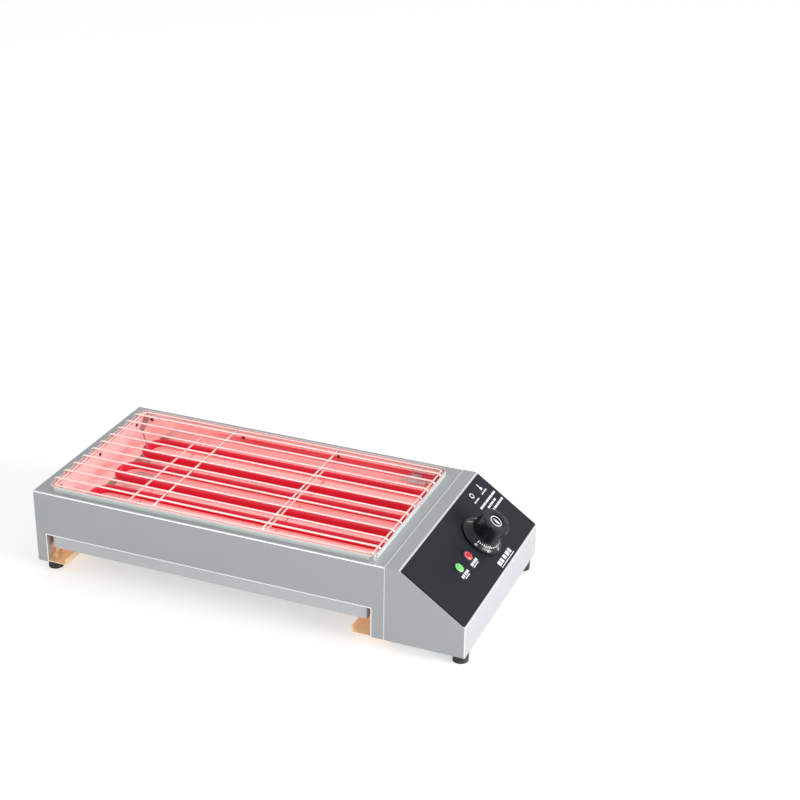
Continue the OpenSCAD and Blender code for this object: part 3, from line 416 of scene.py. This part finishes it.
well_low, well_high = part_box("chamber_liner")
tube_low, tube_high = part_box("middle_heating_tube")
middle = (well_low + well_high) / 2
for side, z, aim_z, watts in (("down", tube_low.z - MM * GLOW_BELOW, 0.0, 0.6),
                              ("up", tube_high.z + MM * GLOW_OVER, 1.0, 0.35)):
    glow = soft_lamp("tube_light_" + side, (middle.x, middle.y, z), (middle.x, middle.y, aim_z),
                     GLOW_SIZE, watts, GLOW)
    glow.visible_glossy = False


# Terminals. Brass bushings, nuts and screws where the tubes pass the partition, an unglazed
# ceramic block for the wires, and wires in sleeves of glass fibre.
def speckled(name, colour, roughness, scale=900.0, depth=0.25, spread=0.12):
    """Moulded rubber or plastic: a fine speckle in tone and relief."""
    material = new_finish(name, colour, Roughness=roughness)
    place = add_node(material, "ShaderNodeTexCoord").outputs["Object"]
    speck = add_node(material, "ShaderNodeTexNoise", [("Vector", place)], Scale=scale, Detail=4.0)
    feed(material, "Base Color", shaded(material, speck.outputs[0], [
        (0.3, scaled(colour, 1 - spread)), (0.7, scaled(colour, 1 + spread))]))
    bump = add_node(material, "ShaderNodeBump", [("Height", speck.outputs[0])],
                    Strength=depth, Distance=RELIEF)
    feed(material, "Normal", bump.outputs[0])
    return material


brass = brushed_steel("terminal_brass", tone(214, 176, 96), 0.3, grain=(300.0, 300.0, 300.0))
dress(brass, "tube_bushings", "tube_nuts", "terminal_screws", "earth_stud")
ceramic = speckled("unglazed_ceramic", tone(226, 221, 208), 0.7, spread=0.05)
dress(ceramic, "terminal_block", "thermostat_body")
sleeve = speckled("glass_sleeve", tone(228, 226, 216), 0.8, scale=1500.0, spread=0.08)
dress(sleeve, "heater_wires", "lamp_wires", "lamp_nuts")

# Thermostat sensor. A steel bulb held to the back wall by a clip, with a thin copper capillary
# that leaves through a rubber grommet to the thermostat behind the panel.
bulb_steel = brushed_steel("bulb_steel", tone(196, 188, 190), 0.32, grain=(30.0, 400.0, 400.0),
                           metallic=0.4)
dress(bulb_steel, "sensor_bulb", "sensor_clip")
copper = brushed_steel("capillary_copper", tone(200, 130, 100), 0.3, grain=(300.0, 300.0, 300.0))
dress(copper, "capillary")
rubber = speckled("black_rubber", tone(34, 35, 37), 0.62)
dress(rubber, "capillary_grommet", "cord_bushing", "green_lamp_body", "red_lamp_body")

# Control panel. A satin black plate on the slope, with white print: marks by the two pilot
# lamps, a row of blocks under the knob, and two small signs with lines above it.
panel_black = speckled("panel_black", tone(33, 37, 41), 0.5, scale=1600.0, depth=0.08, spread=0.05)
put(panel_black, "Specular IOR Level", 0.1)
dress(panel_black, "control_panel")

knob_joint = next(j for j in frame["joints"] if j["name"] == "knob_turn")
KNOB_V, KNOB_Y, PLATE_T = 46.5, 138.5, 1.2
PRINT_T, SUNK, SAME_PLACE = 0.06, 0.05, 1e-7
slope_out = np.array(knob_joint["axis"], float)
slope_back = np.array([0.0, 1.0, 0.0])
slope_down = np.cross(slope_back, slope_out)
knob_foot = np.array(knob_joint["pos_m"], float)


def on_panel(v, y, h):
    """Points v down the slope and y from the front, h above the plate's face, in metres."""
    v, y, h = np.broadcast_arrays(np.asarray(v, float), y, h)
    return (knob_foot + MM * ((v - KNOB_V)[..., None] * slope_down
            + (y - KNOB_Y)[..., None] * slope_back + (h + PLATE_T)[..., None] * slope_out))


def new_piece(name, points, faces, material, body, replaces=(), smooth=40.0):
    """Puts computed points and faces into a mesh, closes poles and seams, and lets it ride.
    Faces that meet at less than smooth degrees are shaded as one surface."""
    mesh = bpy.data.meshes.new(name)
    mesh.from_pydata(np.asarray(points).reshape(-1, 3).tolist(), [], np.asarray(faces).tolist())
    work = bmesh.new()
    work.from_mesh(mesh)
    bmesh.ops.remove_doubles(work, verts=work.verts, dist=SAME_PLACE)
    bmesh.ops.dissolve_degenerate(work, edges=work.edges, dist=SAME_PLACE)
    bmesh.ops.recalc_face_normals(work, faces=work.faces)
    work.to_mesh(mesh)
    work.free()
    mesh.polygons.foreach_set("use_smooth", [True] * len(mesh.polygons))
    mesh.set_sharp_from_angle(angle=math.radians(smooth))
    mesh.materials.append(material)
    piece = bpy.data.objects.new(name, mesh)
    bpy.context.scene.collection.objects.link(piece)
    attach(piece, body)
    if replaces:
        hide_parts(*replaces)
    return piece


def block_faces(count):
    """Six faces for each of a number of blocks, whose corners are four below and four above."""
    one = np.array([[3, 2, 1, 0], [4, 5, 6, 7], [0, 1, 5, 4], [1, 2, 6, 5], [2, 3, 7, 6],
                    [3, 0, 4, 7]])
    return (one[None] + 8 * np.arange(count)[:, None, None]).reshape(-1, 4)


def slabs(blocks, thick):
    """Flat marks: each block runs from v0 to v1 and y0 to y1, and from SUNK below the plate's
    face to its thickness above it."""
    b = np.asarray(blocks, float)
    v = b[:, [0, 1, 1, 0, 0, 1, 1, 0]]
    y = b[:, [2, 2, 3, 3, 2, 2, 3, 3]]
    h = np.tile([-SUNK] * 4 + [thick] * 4, (len(b), 1))
    return on_panel(v, y, h), block_faces(len(b))


def row_of_blocks(v0, v1, y0, y1, count, gap):
    """One line of print as plain blocks: equal pitch, widths that vary a little along the row."""
    pitch = (y1 - y0) / count
    i = np.arange(count)
    width = pitch * (1 - gap) * (0.86 + 0.14 * np.cos(2.4 * i))
    start = y0 + i * pitch
    return np.stack([np.full(count, v0), np.full(count, v1), start, start + width], 1)


LAMP_ROW, LAMP_RULE, KNOB_ROW, KNOB_RULE = (54.3, 57.6), (58.8, 59.7), (76.4, 81.6), (83.2, 84.0)
SIGN_ROW, FIRST_LINE = (18.7, 20.4), (27.1, 29.7)
SECOND_LINE, THIRD_LINE = (32.9, 35.2), (38.4, 40.9)
STEM, STEM_FOOT = (8.0, 15.0, 208.2, 209.6), (13.5, 16.3, 206.9, 210.9)
SIGN_V, SIGN_Y, SIGN_IN, SIGN_OUT = 12.0, 186.2, 2.3, 3.3
marks = np.concatenate([
    row_of_blocks(*LAMP_ROW, 61.0, 79.2, 5, 0.22), [[*LAMP_RULE, 63.9, 74.8]],
    row_of_blocks(*LAMP_ROW, 87.7, 104.8, 5, 0.22), [[*LAMP_RULE, 88.0, 101.5]],
    row_of_blocks(*KNOB_ROW, 122.0, 160.5, 5, 0.2), [[*KNOB_RULE, 122.3, 159.6]],
    row_of_blocks(*SIGN_ROW, 179.5, 193.5, 5, 0.3),
    row_of_blocks(*SIGN_ROW, 201.8, 216.2, 4, 0.25),
    row_of_blocks(*FIRST_LINE, 179.0, 224.2, 13, 0.2),
    row_of_blocks(*SECOND_LINE, 190.0, 214.0, 7, 0.22),
    row_of_blocks(*THIRD_LINE, 179.5, 224.6, 12, 0.2),
    [STEM, STEM_FOOT],
])
print_white = speckled("print_white", tone(236, 238, 240), 0.55, scale=2200.0, depth=0.05,
                       spread=0.06)


def printed(name, points, faces, body):
    """White print or inlay: thin raised marks with hard edges."""
    new_piece(name, points, faces, print_white, body, smooth=20.0)


printed("panel_print", *slabs(marks, PRINT_T), "grill")


def ring_on_panel(v, y, h0, h1, inner, outer, steps=48):
    """A flat ring: a square section carried all the way round the point (v, y)."""
    a = 2 * np.pi * np.arange(steps + 1)[:, None] / steps
    r = np.array([[inner, outer, outer, inner]])
    h = np.array([[h0, h0, h1, h1]])
    return on_panel(v + r * np.sin(a), y + r * np.cos(a), h + 0 * a)


def grid_faces(rows, columns, wrap_rows=False, wrap_columns=True):
    """Quads over a grid of points, joined up along the rows or the columns where they close."""
    index = np.arange(rows * columns).reshape(rows, columns)
    if wrap_rows:
        index = np.concatenate([index, index[:1]], 0)
    if wrap_columns:
        index = np.concatenate([index, index[:, :1]], 1)
    return np.stack([index[:-1, :-1], index[1:, :-1], index[1:, 1:], index[:-1, 1:]],
                    -1).reshape(-1, 4)


sign = ring_on_panel(SIGN_V, SIGN_Y, -SUNK, PRINT_T, SIGN_IN, SIGN_OUT)
printed("panel_sign", sign, grid_faces(len(sign), 4), "grill")

# Pilot lamps. Two round lenses of clear moulded plastic, each with a ring of relief inside, that
# sit in black bezels. Painted shade darkens the ring's groove, and a painted highlight makes the
# rim paler.
LAMP_R, LAMP_RING, LAMP_TOP, LENS_EDGE, LENS_FOOT, GROOVE = 5.4, 3.4, 2.6, 0.5, 0.4, 0.45
LENS_RINGS, LENS_SIDES = 54, 64


def lens_profile():
    """Radius and height from the axis out: a dome that falls as sqrt(1 - (r/R)^5) to the edge,
    less one bell-shaped groove exp(-((r - ring)/g)^2), and a short upright rim to the foot."""
    r = np.concatenate([np.linspace(0, LAMP_R, LENS_RINGS), [LAMP_R]])
    dome = (LAMP_TOP - LENS_EDGE) * np.sqrt(np.clip(1 - (r / (LAMP_R * 1.01)) ** 5, 0, 1))
    h = LENS_EDGE + dome - GROOVE * np.exp(-((r - LAMP_RING) / GROOVE) ** 2)
    h[-1] = LENS_FOOT
    return r, h


def lens_finish(name, middle_tone, groove_shade_tone, rim_highlight_tone):
    """Coloured plastic, lit softly from within, with painted shade in the groove and a painted
    highlight on the rim.
    """
    material = new_finish(name, middle_tone, Roughness=0.25, Coat_Weight=0.4,
                          Emission_Strength=0.18)
    spot = add_node(material, "ShaderNodeAttribute", attribute_name="out_from_middle")
    ring = LAMP_RING / LAMP_R
    shade = shaded(material, spot.outputs["Fac"], [
        (ring - 0.2, middle_tone), (ring, groove_shade_tone), (ring + 0.17, rim_highlight_tone)])
    feed(material, "Base Color", shade)
    feed(material, "Emission Color", shade)
    return material


def pilot_lens(name, node, v, y, material):
    """The lens profile turned round the lamp's axis."""
    r, h = lens_profile()
    a = 2 * np.pi * np.arange(LENS_SIDES)[:, None] / LENS_SIDES
    grid = on_panel(v + r[None] * np.sin(a), y + r[None] * np.cos(a), h[None] + 0 * a)
    lens = new_piece(name, grid, grid_faces(LENS_SIDES, len(r), True, False), material, "grill",
                     [node], smooth=50.0)
    place = np.array([p.co for p in lens.data.vertices])
    away = np.linalg.norm((place - on_panel(v, y, 0.0)) @ np.stack([slope_down, slope_back], 1),
                          axis=1) / (LAMP_R * MM)
    spread = lens.data.attributes.new("out_from_middle", "FLOAT", "POINT")
    spread.data.foreach_set("value", away.astype(np.float32))


LAMP_V, GREEN_Y, RED_Y = 47.0, 69.0, 95.5
pilot_lens("green_lens", "green_lamp_lens", LAMP_V, GREEN_Y,
           lens_finish("green_lens", tone(96, 204, 92), tone(58, 160, 58), tone(142, 230, 134)))
pilot_lens("red_lens", "red_lamp_lens", LAMP_V, RED_Y,
           lens_finish("red_lens", tone(194, 36, 50), tone(152, 18, 32), tone(222, 98, 110)))

# Knob. Black moulded plastic: a flat skirt with white print that rises in a cone to a straight
# grip with six short flutes at its top. A shallow dish there carries a ring and a pointer.
SKIRT_GAP, SKIRT_R, GRIP_R, KNOB_H, DISH_R, DISH_IN = 1.0, 24.5, 16.9, 27.8, 9.0, 0.8
FLUTES, FLUTE_R, FLUTE_IN, FLUTE_L, HOLLOW_R, HOLLOW_H = 6, 2.2, 1.3, 9.6, 14.9, 5.4
FLUTE_STEPS, TOP_KEPT = 60, 2.0
SKIRT_EDGE, SKIRT_RIM, SKIRT_TOP = (24.1, 1.6), (22.0, 2.0), (17.5, 7.2)
FLUTE_LOW = KNOB_H - FLUTE_L
knob_profile = np.array([
    [0, HOLLOW_H], [HOLLOW_R - 0.3, HOLLOW_H], [HOLLOW_R, HOLLOW_H - 0.3], [HOLLOW_R, 0],
    [SKIRT_R - 0.4, 0], [SKIRT_R - 0.1, 0.1], [SKIRT_R, 0.4], [SKIRT_R, 1.2], [SKIRT_R - 0.1, 1.5],
    SKIRT_EDGE, SKIRT_RIM, [21.7, 2.2], SKIRT_TOP, [17.15, 7.7], [GRIP_R, 8.4], [GRIP_R, 13.0],
    [GRIP_R, FLUTE_LOW - 0.15], [GRIP_R, FLUTE_LOW + 0.15], [GRIP_R, 22.0], [GRIP_R, 25.5],
    [GRIP_R, KNOB_H - 0.9], [GRIP_R - 0.25, KNOB_H - 0.3], [GRIP_R - 0.85, KNOB_H],
    [DISH_R + 0.3, KNOB_H], [DISH_R + 0.05, KNOB_H - 0.1], [DISH_R - 0.05, KNOB_H - DISH_IN + 0.1],
    [DISH_R - 0.4, KNOB_H - DISH_IN], [0, KNOB_H - DISH_IN]])


def knob_surface():
    """Radius over turn and profile. A flute is a round bar's cut: from the axis it is reached at
    c cos(t) - sqrt(R^2 - (c sin(t))^2), with the bar's radius R at distance c and turned by t."""
    steps = FLUTES * FLUTE_STEPS
    a = 2 * np.pi * np.arange(steps)[:, None] / steps
    r, h = knob_profile[None, :, 0], knob_profile[None, :, 1]
    t = ((a * FLUTES / (2 * np.pi)) % 1 - 0.5) * 2 * np.pi / FLUTES
    bar = GRIP_R + FLUTE_R - FLUTE_IN
    within = FLUTE_R ** 2 - (bar * np.sin(t)) ** 2
    cut = np.where(within > 0, bar * np.cos(t) - np.sqrt(np.clip(within, 0, None)), SKIRT_R)
    fluted = (h > FLUTE_LOW) & (r > DISH_R + TOP_KEPT)
    r = np.where(fluted, np.minimum(r, cut), r)
    return on_panel(KNOB_V + r * np.cos(a), KNOB_Y + r * np.sin(a), SKIRT_GAP + h)


knob_black = speckled("knob_black", tone(22, 24, 27), 0.26, scale=1400.0, depth=0.12, spread=0.1)
put(knob_black, "Specular IOR Level", 0.3)
grid = knob_surface()
new_piece("knob_cap", grid, grid_faces(grid.shape[0], grid.shape[1], True, False), knob_black,
          "knob", ["knob"], smooth=32.0)

ARC_START, ARC_STEP, TICKS_EACH = 90.0, 45.0, 6
TICK_R, TICK_LONG, TICK_SHORT, TICK_WIDE, TICK_T = 18.9, 0.9, 0.5, 0.42, 0.07
OFF_BAR = (17.7, 21.8, 0.0, 1.7)
NUMBER_R, NUMBER_H, NUMBER_T, NUMBER_LIFT = 21.6, 3.0, 0.06, 0.02
numbers = ["50", "100", "150", "200", "250", "300"]


def skirt_height(r):
    """Height of the skirt's top at a radius: a flat rim, then a cone up to the grip."""
    out, up = np.array([SKIRT_TOP, SKIRT_RIM, SKIRT_EDGE]).T
    return np.interp(r, out, up)


def on_skirt(r, turn_deg, lift):
    """Points on the skirt: radius, turn against the clock from the top of the slope, lift."""
    a = np.radians(turn_deg)
    return on_panel(KNOB_V - r * np.cos(a), KNOB_Y - r * np.sin(a),
                    SKIRT_GAP + skirt_height(r) + lift)


def tick_blocks():
    """Blocks round the cone: short ones between the numbers, longer ones by them, and one bar at
    the off position. Each has an inner and outer radius, its middle's turn and half its width."""
    place = np.arange((len(numbers) - 1) * TICKS_EACH + 1)
    turn = ARC_START + ARC_STEP / TICKS_EACH * place
    size = np.where(place % TICKS_EACH == 0, TICK_LONG, TICK_SHORT)
    width = np.full(len(place), np.degrees(TICK_WIDE / TICK_R))
    rows = [np.stack([TICK_R - size, TICK_R + size, turn, width], 1), [OFF_BAR]]
    r0, r1, mid, half = np.concatenate(rows).T[:, :, None]
    r = np.concatenate([r0, r1, r1, r0, r0, r1, r1, r0], 1)
    side = np.concatenate([-half, -half, half, half] * 2, 1)
    lift = np.array([[-SUNK] * 4 + [TICK_T] * 4])
    return on_skirt(r, mid + side, lift + 0 * r)


ticks = tick_blocks()
printed("dial_ticks", ticks, block_faces(len(ticks)), "knob")


def numeral(text, turn_deg, r_mid, height):
    """A plain number laid on the skirt: its flat outline is bent round the axis as a mesh."""
    curve = bpy.data.curves.new("numeral", "FONT")
    curve.body, curve.size = text, height
    curve.align_x, curve.align_y, curve.extrude = "CENTER", "CENTER", NUMBER_T
    curve.resolution_u = 3
    holder = bpy.data.objects.new("numeral", curve)
    bpy.context.scene.collection.objects.link(holder)
    bpy.context.view_layer.update()
    shown = holder.evaluated_get(bpy.context.evaluated_depsgraph_get())
    mesh = shown.to_mesh()
    flat = np.array([p.co for p in mesh.vertices])
    sides = [list(p.vertices) for p in mesh.polygons]
    shown.to_mesh_clear()
    bpy.data.objects.remove(holder)
    r = r_mid + flat[:, 1]
    return on_skirt(r, turn_deg - np.degrees(flat[:, 0] / r_mid), flat[:, 2] + NUMBER_LIFT), sides


all_points, all_faces, base = [], [], 0
for i, text in enumerate(numbers):
    placed, sides = numeral(text, ARC_START + i * ARC_STEP, NUMBER_R, NUMBER_H)
    all_points.append(placed)
    all_faces += [[base + k for k in side] for side in sides]
    base += len(placed)
digits = bpy.data.meshes.new("dial_numbers")
digits.from_pydata(np.concatenate(all_points).tolist(), [], all_faces)
digits.materials.append(print_white)
dial_numbers = bpy.data.objects.new("dial_numbers", digits)
bpy.context.scene.collection.objects.link(dial_numbers)
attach(dial_numbers, "knob")

DISH_H, RING_IN, RING_OUT, INLAY_T = SKIRT_GAP + KNOB_H - DISH_IN, 6.1, 7.0, 0.12
POINTER_L, POINTER_BACK, POINTER_HALF, POINTER_STEPS = 9.3, 4.5, 2.1, 25
ring = ring_on_panel(KNOB_V, KNOB_Y, DISH_H - SUNK, DISH_H + INLAY_T, RING_IN, RING_OUT)
printed("knob_ring", ring, grid_faces(len(ring), 4), "knob")


def pointer():
    """A drop-shaped pointer with a flat top: over its length, with s from 0 to 1, half its width
    is sqrt(s (1 - s)) (0.5 + 1.3 s), so that it closes to a point at both ends."""
    s = np.linspace(0, 1, POINTER_STEPS)
    half = POINTER_HALF * np.sqrt(s * (1 - s)) * (0.5 + 1.3 * s)
    v = KNOB_V - POINTER_BACK + POINTER_L * s
    y = np.stack([-half, half, half, -half], 1) + KNOB_Y
    h = np.array([[DISH_H - SUNK, DISH_H - SUNK, DISH_H + INLAY_T, DISH_H + INLAY_T]])
    return on_panel(v[:, None] + 0 * y, y, h + 0 * y)


drop = pointer()
printed("knob_pointer", drop, grid_faces(len(drop), 4), "knob")

# Grate. Bright plated steel wire: a ring inside the collar, lengthwise rods welded on it with
# their tips bent down, and two thicker cross rods under them. Small beads of weld show at the
# crossings. The wires here are finer than the solids they stand for, and lie on the same places.
WIRE_R, CROSS_R, BEND_R, CORNER_R, WELD = 1.2 * MM, 1.4 * MM, 3.0 * MM, 3.8 * MM, 0.3 * MM
LEFT_DROP, ROD_COUNT, SOLID_WIRE, SOLID_CROSS = 4.5 * MM, 10, 3.0 * MM, 4.0 * MM
END_STEP, END_R, CROSS_STEPS = 0.2, 0.8, 12
BEAD, BEAD_RINGS, BEAD_SIDES = (1.5, 1.2, 0.7), 7, 10
ring_low, ring_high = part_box("grate_frame")
rods_low, rods_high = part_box("grate_rods")
cross_low, cross_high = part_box("grate_cross_rods")
rod_z = rods_high.z - SOLID_WIRE + WIRE_R
ring_z = rod_z - 2 * WIRE_R + WELD
cross_z = rod_z - WIRE_R - CROSS_R + WELD


def quarter(centre, first, second, radius, steps=8):
    """An arc from centre + radius first to centre + radius second, with both ends."""
    a = np.linspace(0, np.pi / 2, steps + 1)[:, None]
    return np.array(centre) + radius * (np.cos(a) * np.array(first) + np.sin(a) * np.array(second))


def swept(path, across, radius, closed=False, sides=14):
    """A round wire along a plane curve: a circle in the directions across and (across x tangent).
    An open wire's end is rounded: its last ring stands back by END_STEP of the radius, and before
    it come a ring of END_R of the radius and a point."""
    path, across = np.asarray(path, float), np.array(across, float)
    if closed:
        along = np.roll(path, -1, 0) - np.roll(path, 1, 0)
        r = np.full(len(path), radius)
    else:
        along = np.gradient(path, axis=0)
        path = np.concatenate([path[:1], path[:1], path, path[-1:], path[-1:]])
        along = np.concatenate([along[:1], along[:1], along, along[-1:], along[-1:]])
        along /= np.linalg.norm(along, axis=1)[:, None]
        path[2] += END_STEP * radius * along[0]
        path[-3] -= END_STEP * radius * along[-1]
        r = np.full(len(path), radius)
        r[[0, -1]], r[[1, -2]] = 0.0, END_R * radius
    along /= np.linalg.norm(along, axis=1)[:, None]
    side = np.cross(across, along)
    a = 2 * np.pi * np.arange(sides)[None, :, None] / sides
    return (path[:, None] + r[:, None, None] * (np.cos(a) * side[:, None] + np.sin(a) * across),
            grid_faces(len(path), sides, closed, True))


def joined(parts):
    """Several grids of points with their faces, put together into one mesh."""
    starts = np.cumsum([0] + [len(points.reshape(-1, 3)) for points, _ in parts[:-1]])
    return (np.concatenate([points.reshape(-1, 3) for points, _ in parts]),
            np.concatenate([faces + start for (_, faces), start in zip(parts, starts)]))


def ring_path():
    """The ring's centre line: a rectangle with four round corners."""
    lo = np.array(ring_low)[:2] + SOLID_WIRE / 2 + CORNER_R
    hi = np.array(ring_high)[:2] - SOLID_WIRE / 2 - CORNER_R
    x, y = (1.0, 0.0, 0.0), (0.0, 1.0, 0.0)
    left, front = (-1.0, 0.0, 0.0), (0.0, -1.0, 0.0)
    return np.concatenate([quarter((hi[0], hi[1], ring_z), x, y, CORNER_R),
                           quarter((lo[0], hi[1], ring_z), y, left, CORNER_R),
                           quarter((lo[0], lo[1], ring_z), left, front, CORNER_R),
                           quarter((hi[0], lo[1], ring_z), front, x, CORNER_R)])


def rod_path(y):
    """One rod: up from its left tip, round the bend, along, round and down to the right tip."""
    x0, x1 = rods_low.x + SOLID_WIRE - WIRE_R, rods_high.x - WIRE_R
    up, x, left = (0.0, 0.0, 1.0), (1.0, 0.0, 0.0), (-1.0, 0.0, 0.0)
    return np.concatenate([[(x0, y, rod_z - LEFT_DROP)],
                           quarter((x0 + BEND_R, y, rod_z - BEND_R), left, up, BEND_R),
                           quarter((x1 - BEND_R, y, rod_z - BEND_R), up, x, BEND_R),
                           [(x1, y, rods_low.z)]])


def bead(x, y, z):
    """A drop of weld: a small ball over two angles, stretched by BEAD in x, y and z."""
    a, b = np.meshgrid(np.linspace(0, np.pi, BEAD_RINGS),
                       2 * np.pi * np.arange(BEAD_SIDES) / BEAD_SIDES, indexing="ij")
    ball = np.stack([np.sin(a) * np.cos(b), np.sin(a) * np.sin(b), np.cos(a)], -1)
    return np.array([x, y, z]) + MM * np.array(BEAD) * ball, grid_faces(BEAD_RINGS, BEAD_SIDES)


# The wire's pale pink tint is painted glow from the tubes; the welds share it.
plated = brushed_steel("plated_wire", tone(246, 224, 220), 0.14, grain=(60.0, 60.0, 60.0),
                       depth=0.02)
rod_ys = np.linspace(rods_low.y + SOLID_WIRE / 2, rods_high.y - SOLID_WIRE / 2, ROD_COUNT)
ring_xs = ring_low.x + SOLID_WIRE / 2, ring_high.x - SOLID_WIRE / 2
cross_xs = cross_low.x + SOLID_CROSS / 2, cross_high.x - SOLID_CROSS / 2
cross_ys = np.linspace(ring_low.y + SOLID_WIRE / 2 + WIRE_R - WELD,
                       ring_high.y - SOLID_WIRE / 2 - WIRE_R + WELD, CROSS_STEPS)
wires = {
    "grate_frame": [swept(ring_path(), (0, 0, 1), WIRE_R, closed=True)],
    "grate_rods": [swept(rod_path(y), (0, 1, 0), WIRE_R) for y in rod_ys],
    "grate_cross_rods": [swept([(x, y, cross_z) for y in cross_ys], (0, 0, 1), CROSS_R)
                         for x in cross_xs],
}
for node, parts in wires.items():
    points, faces = joined(parts)
    new_piece(node.replace("grate", "wire"), points, faces, plated, "grate",
              [node], smooth=50.0)
points, faces = joined([bead(x, y, rod_z - WIRE_R + WELD / 2)
                        for x in (*ring_xs, *cross_xs) for y in rod_ys])
new_piece("wire_welds", points, faces, plated, "grate", smooth=60.0)

# Feet. Round black rubber feet, narrower at the bottom, each screwed up through its middle.
dress(rubber, "front_left_foot", "back_left_foot", "front_right_foot", "back_right_foot")
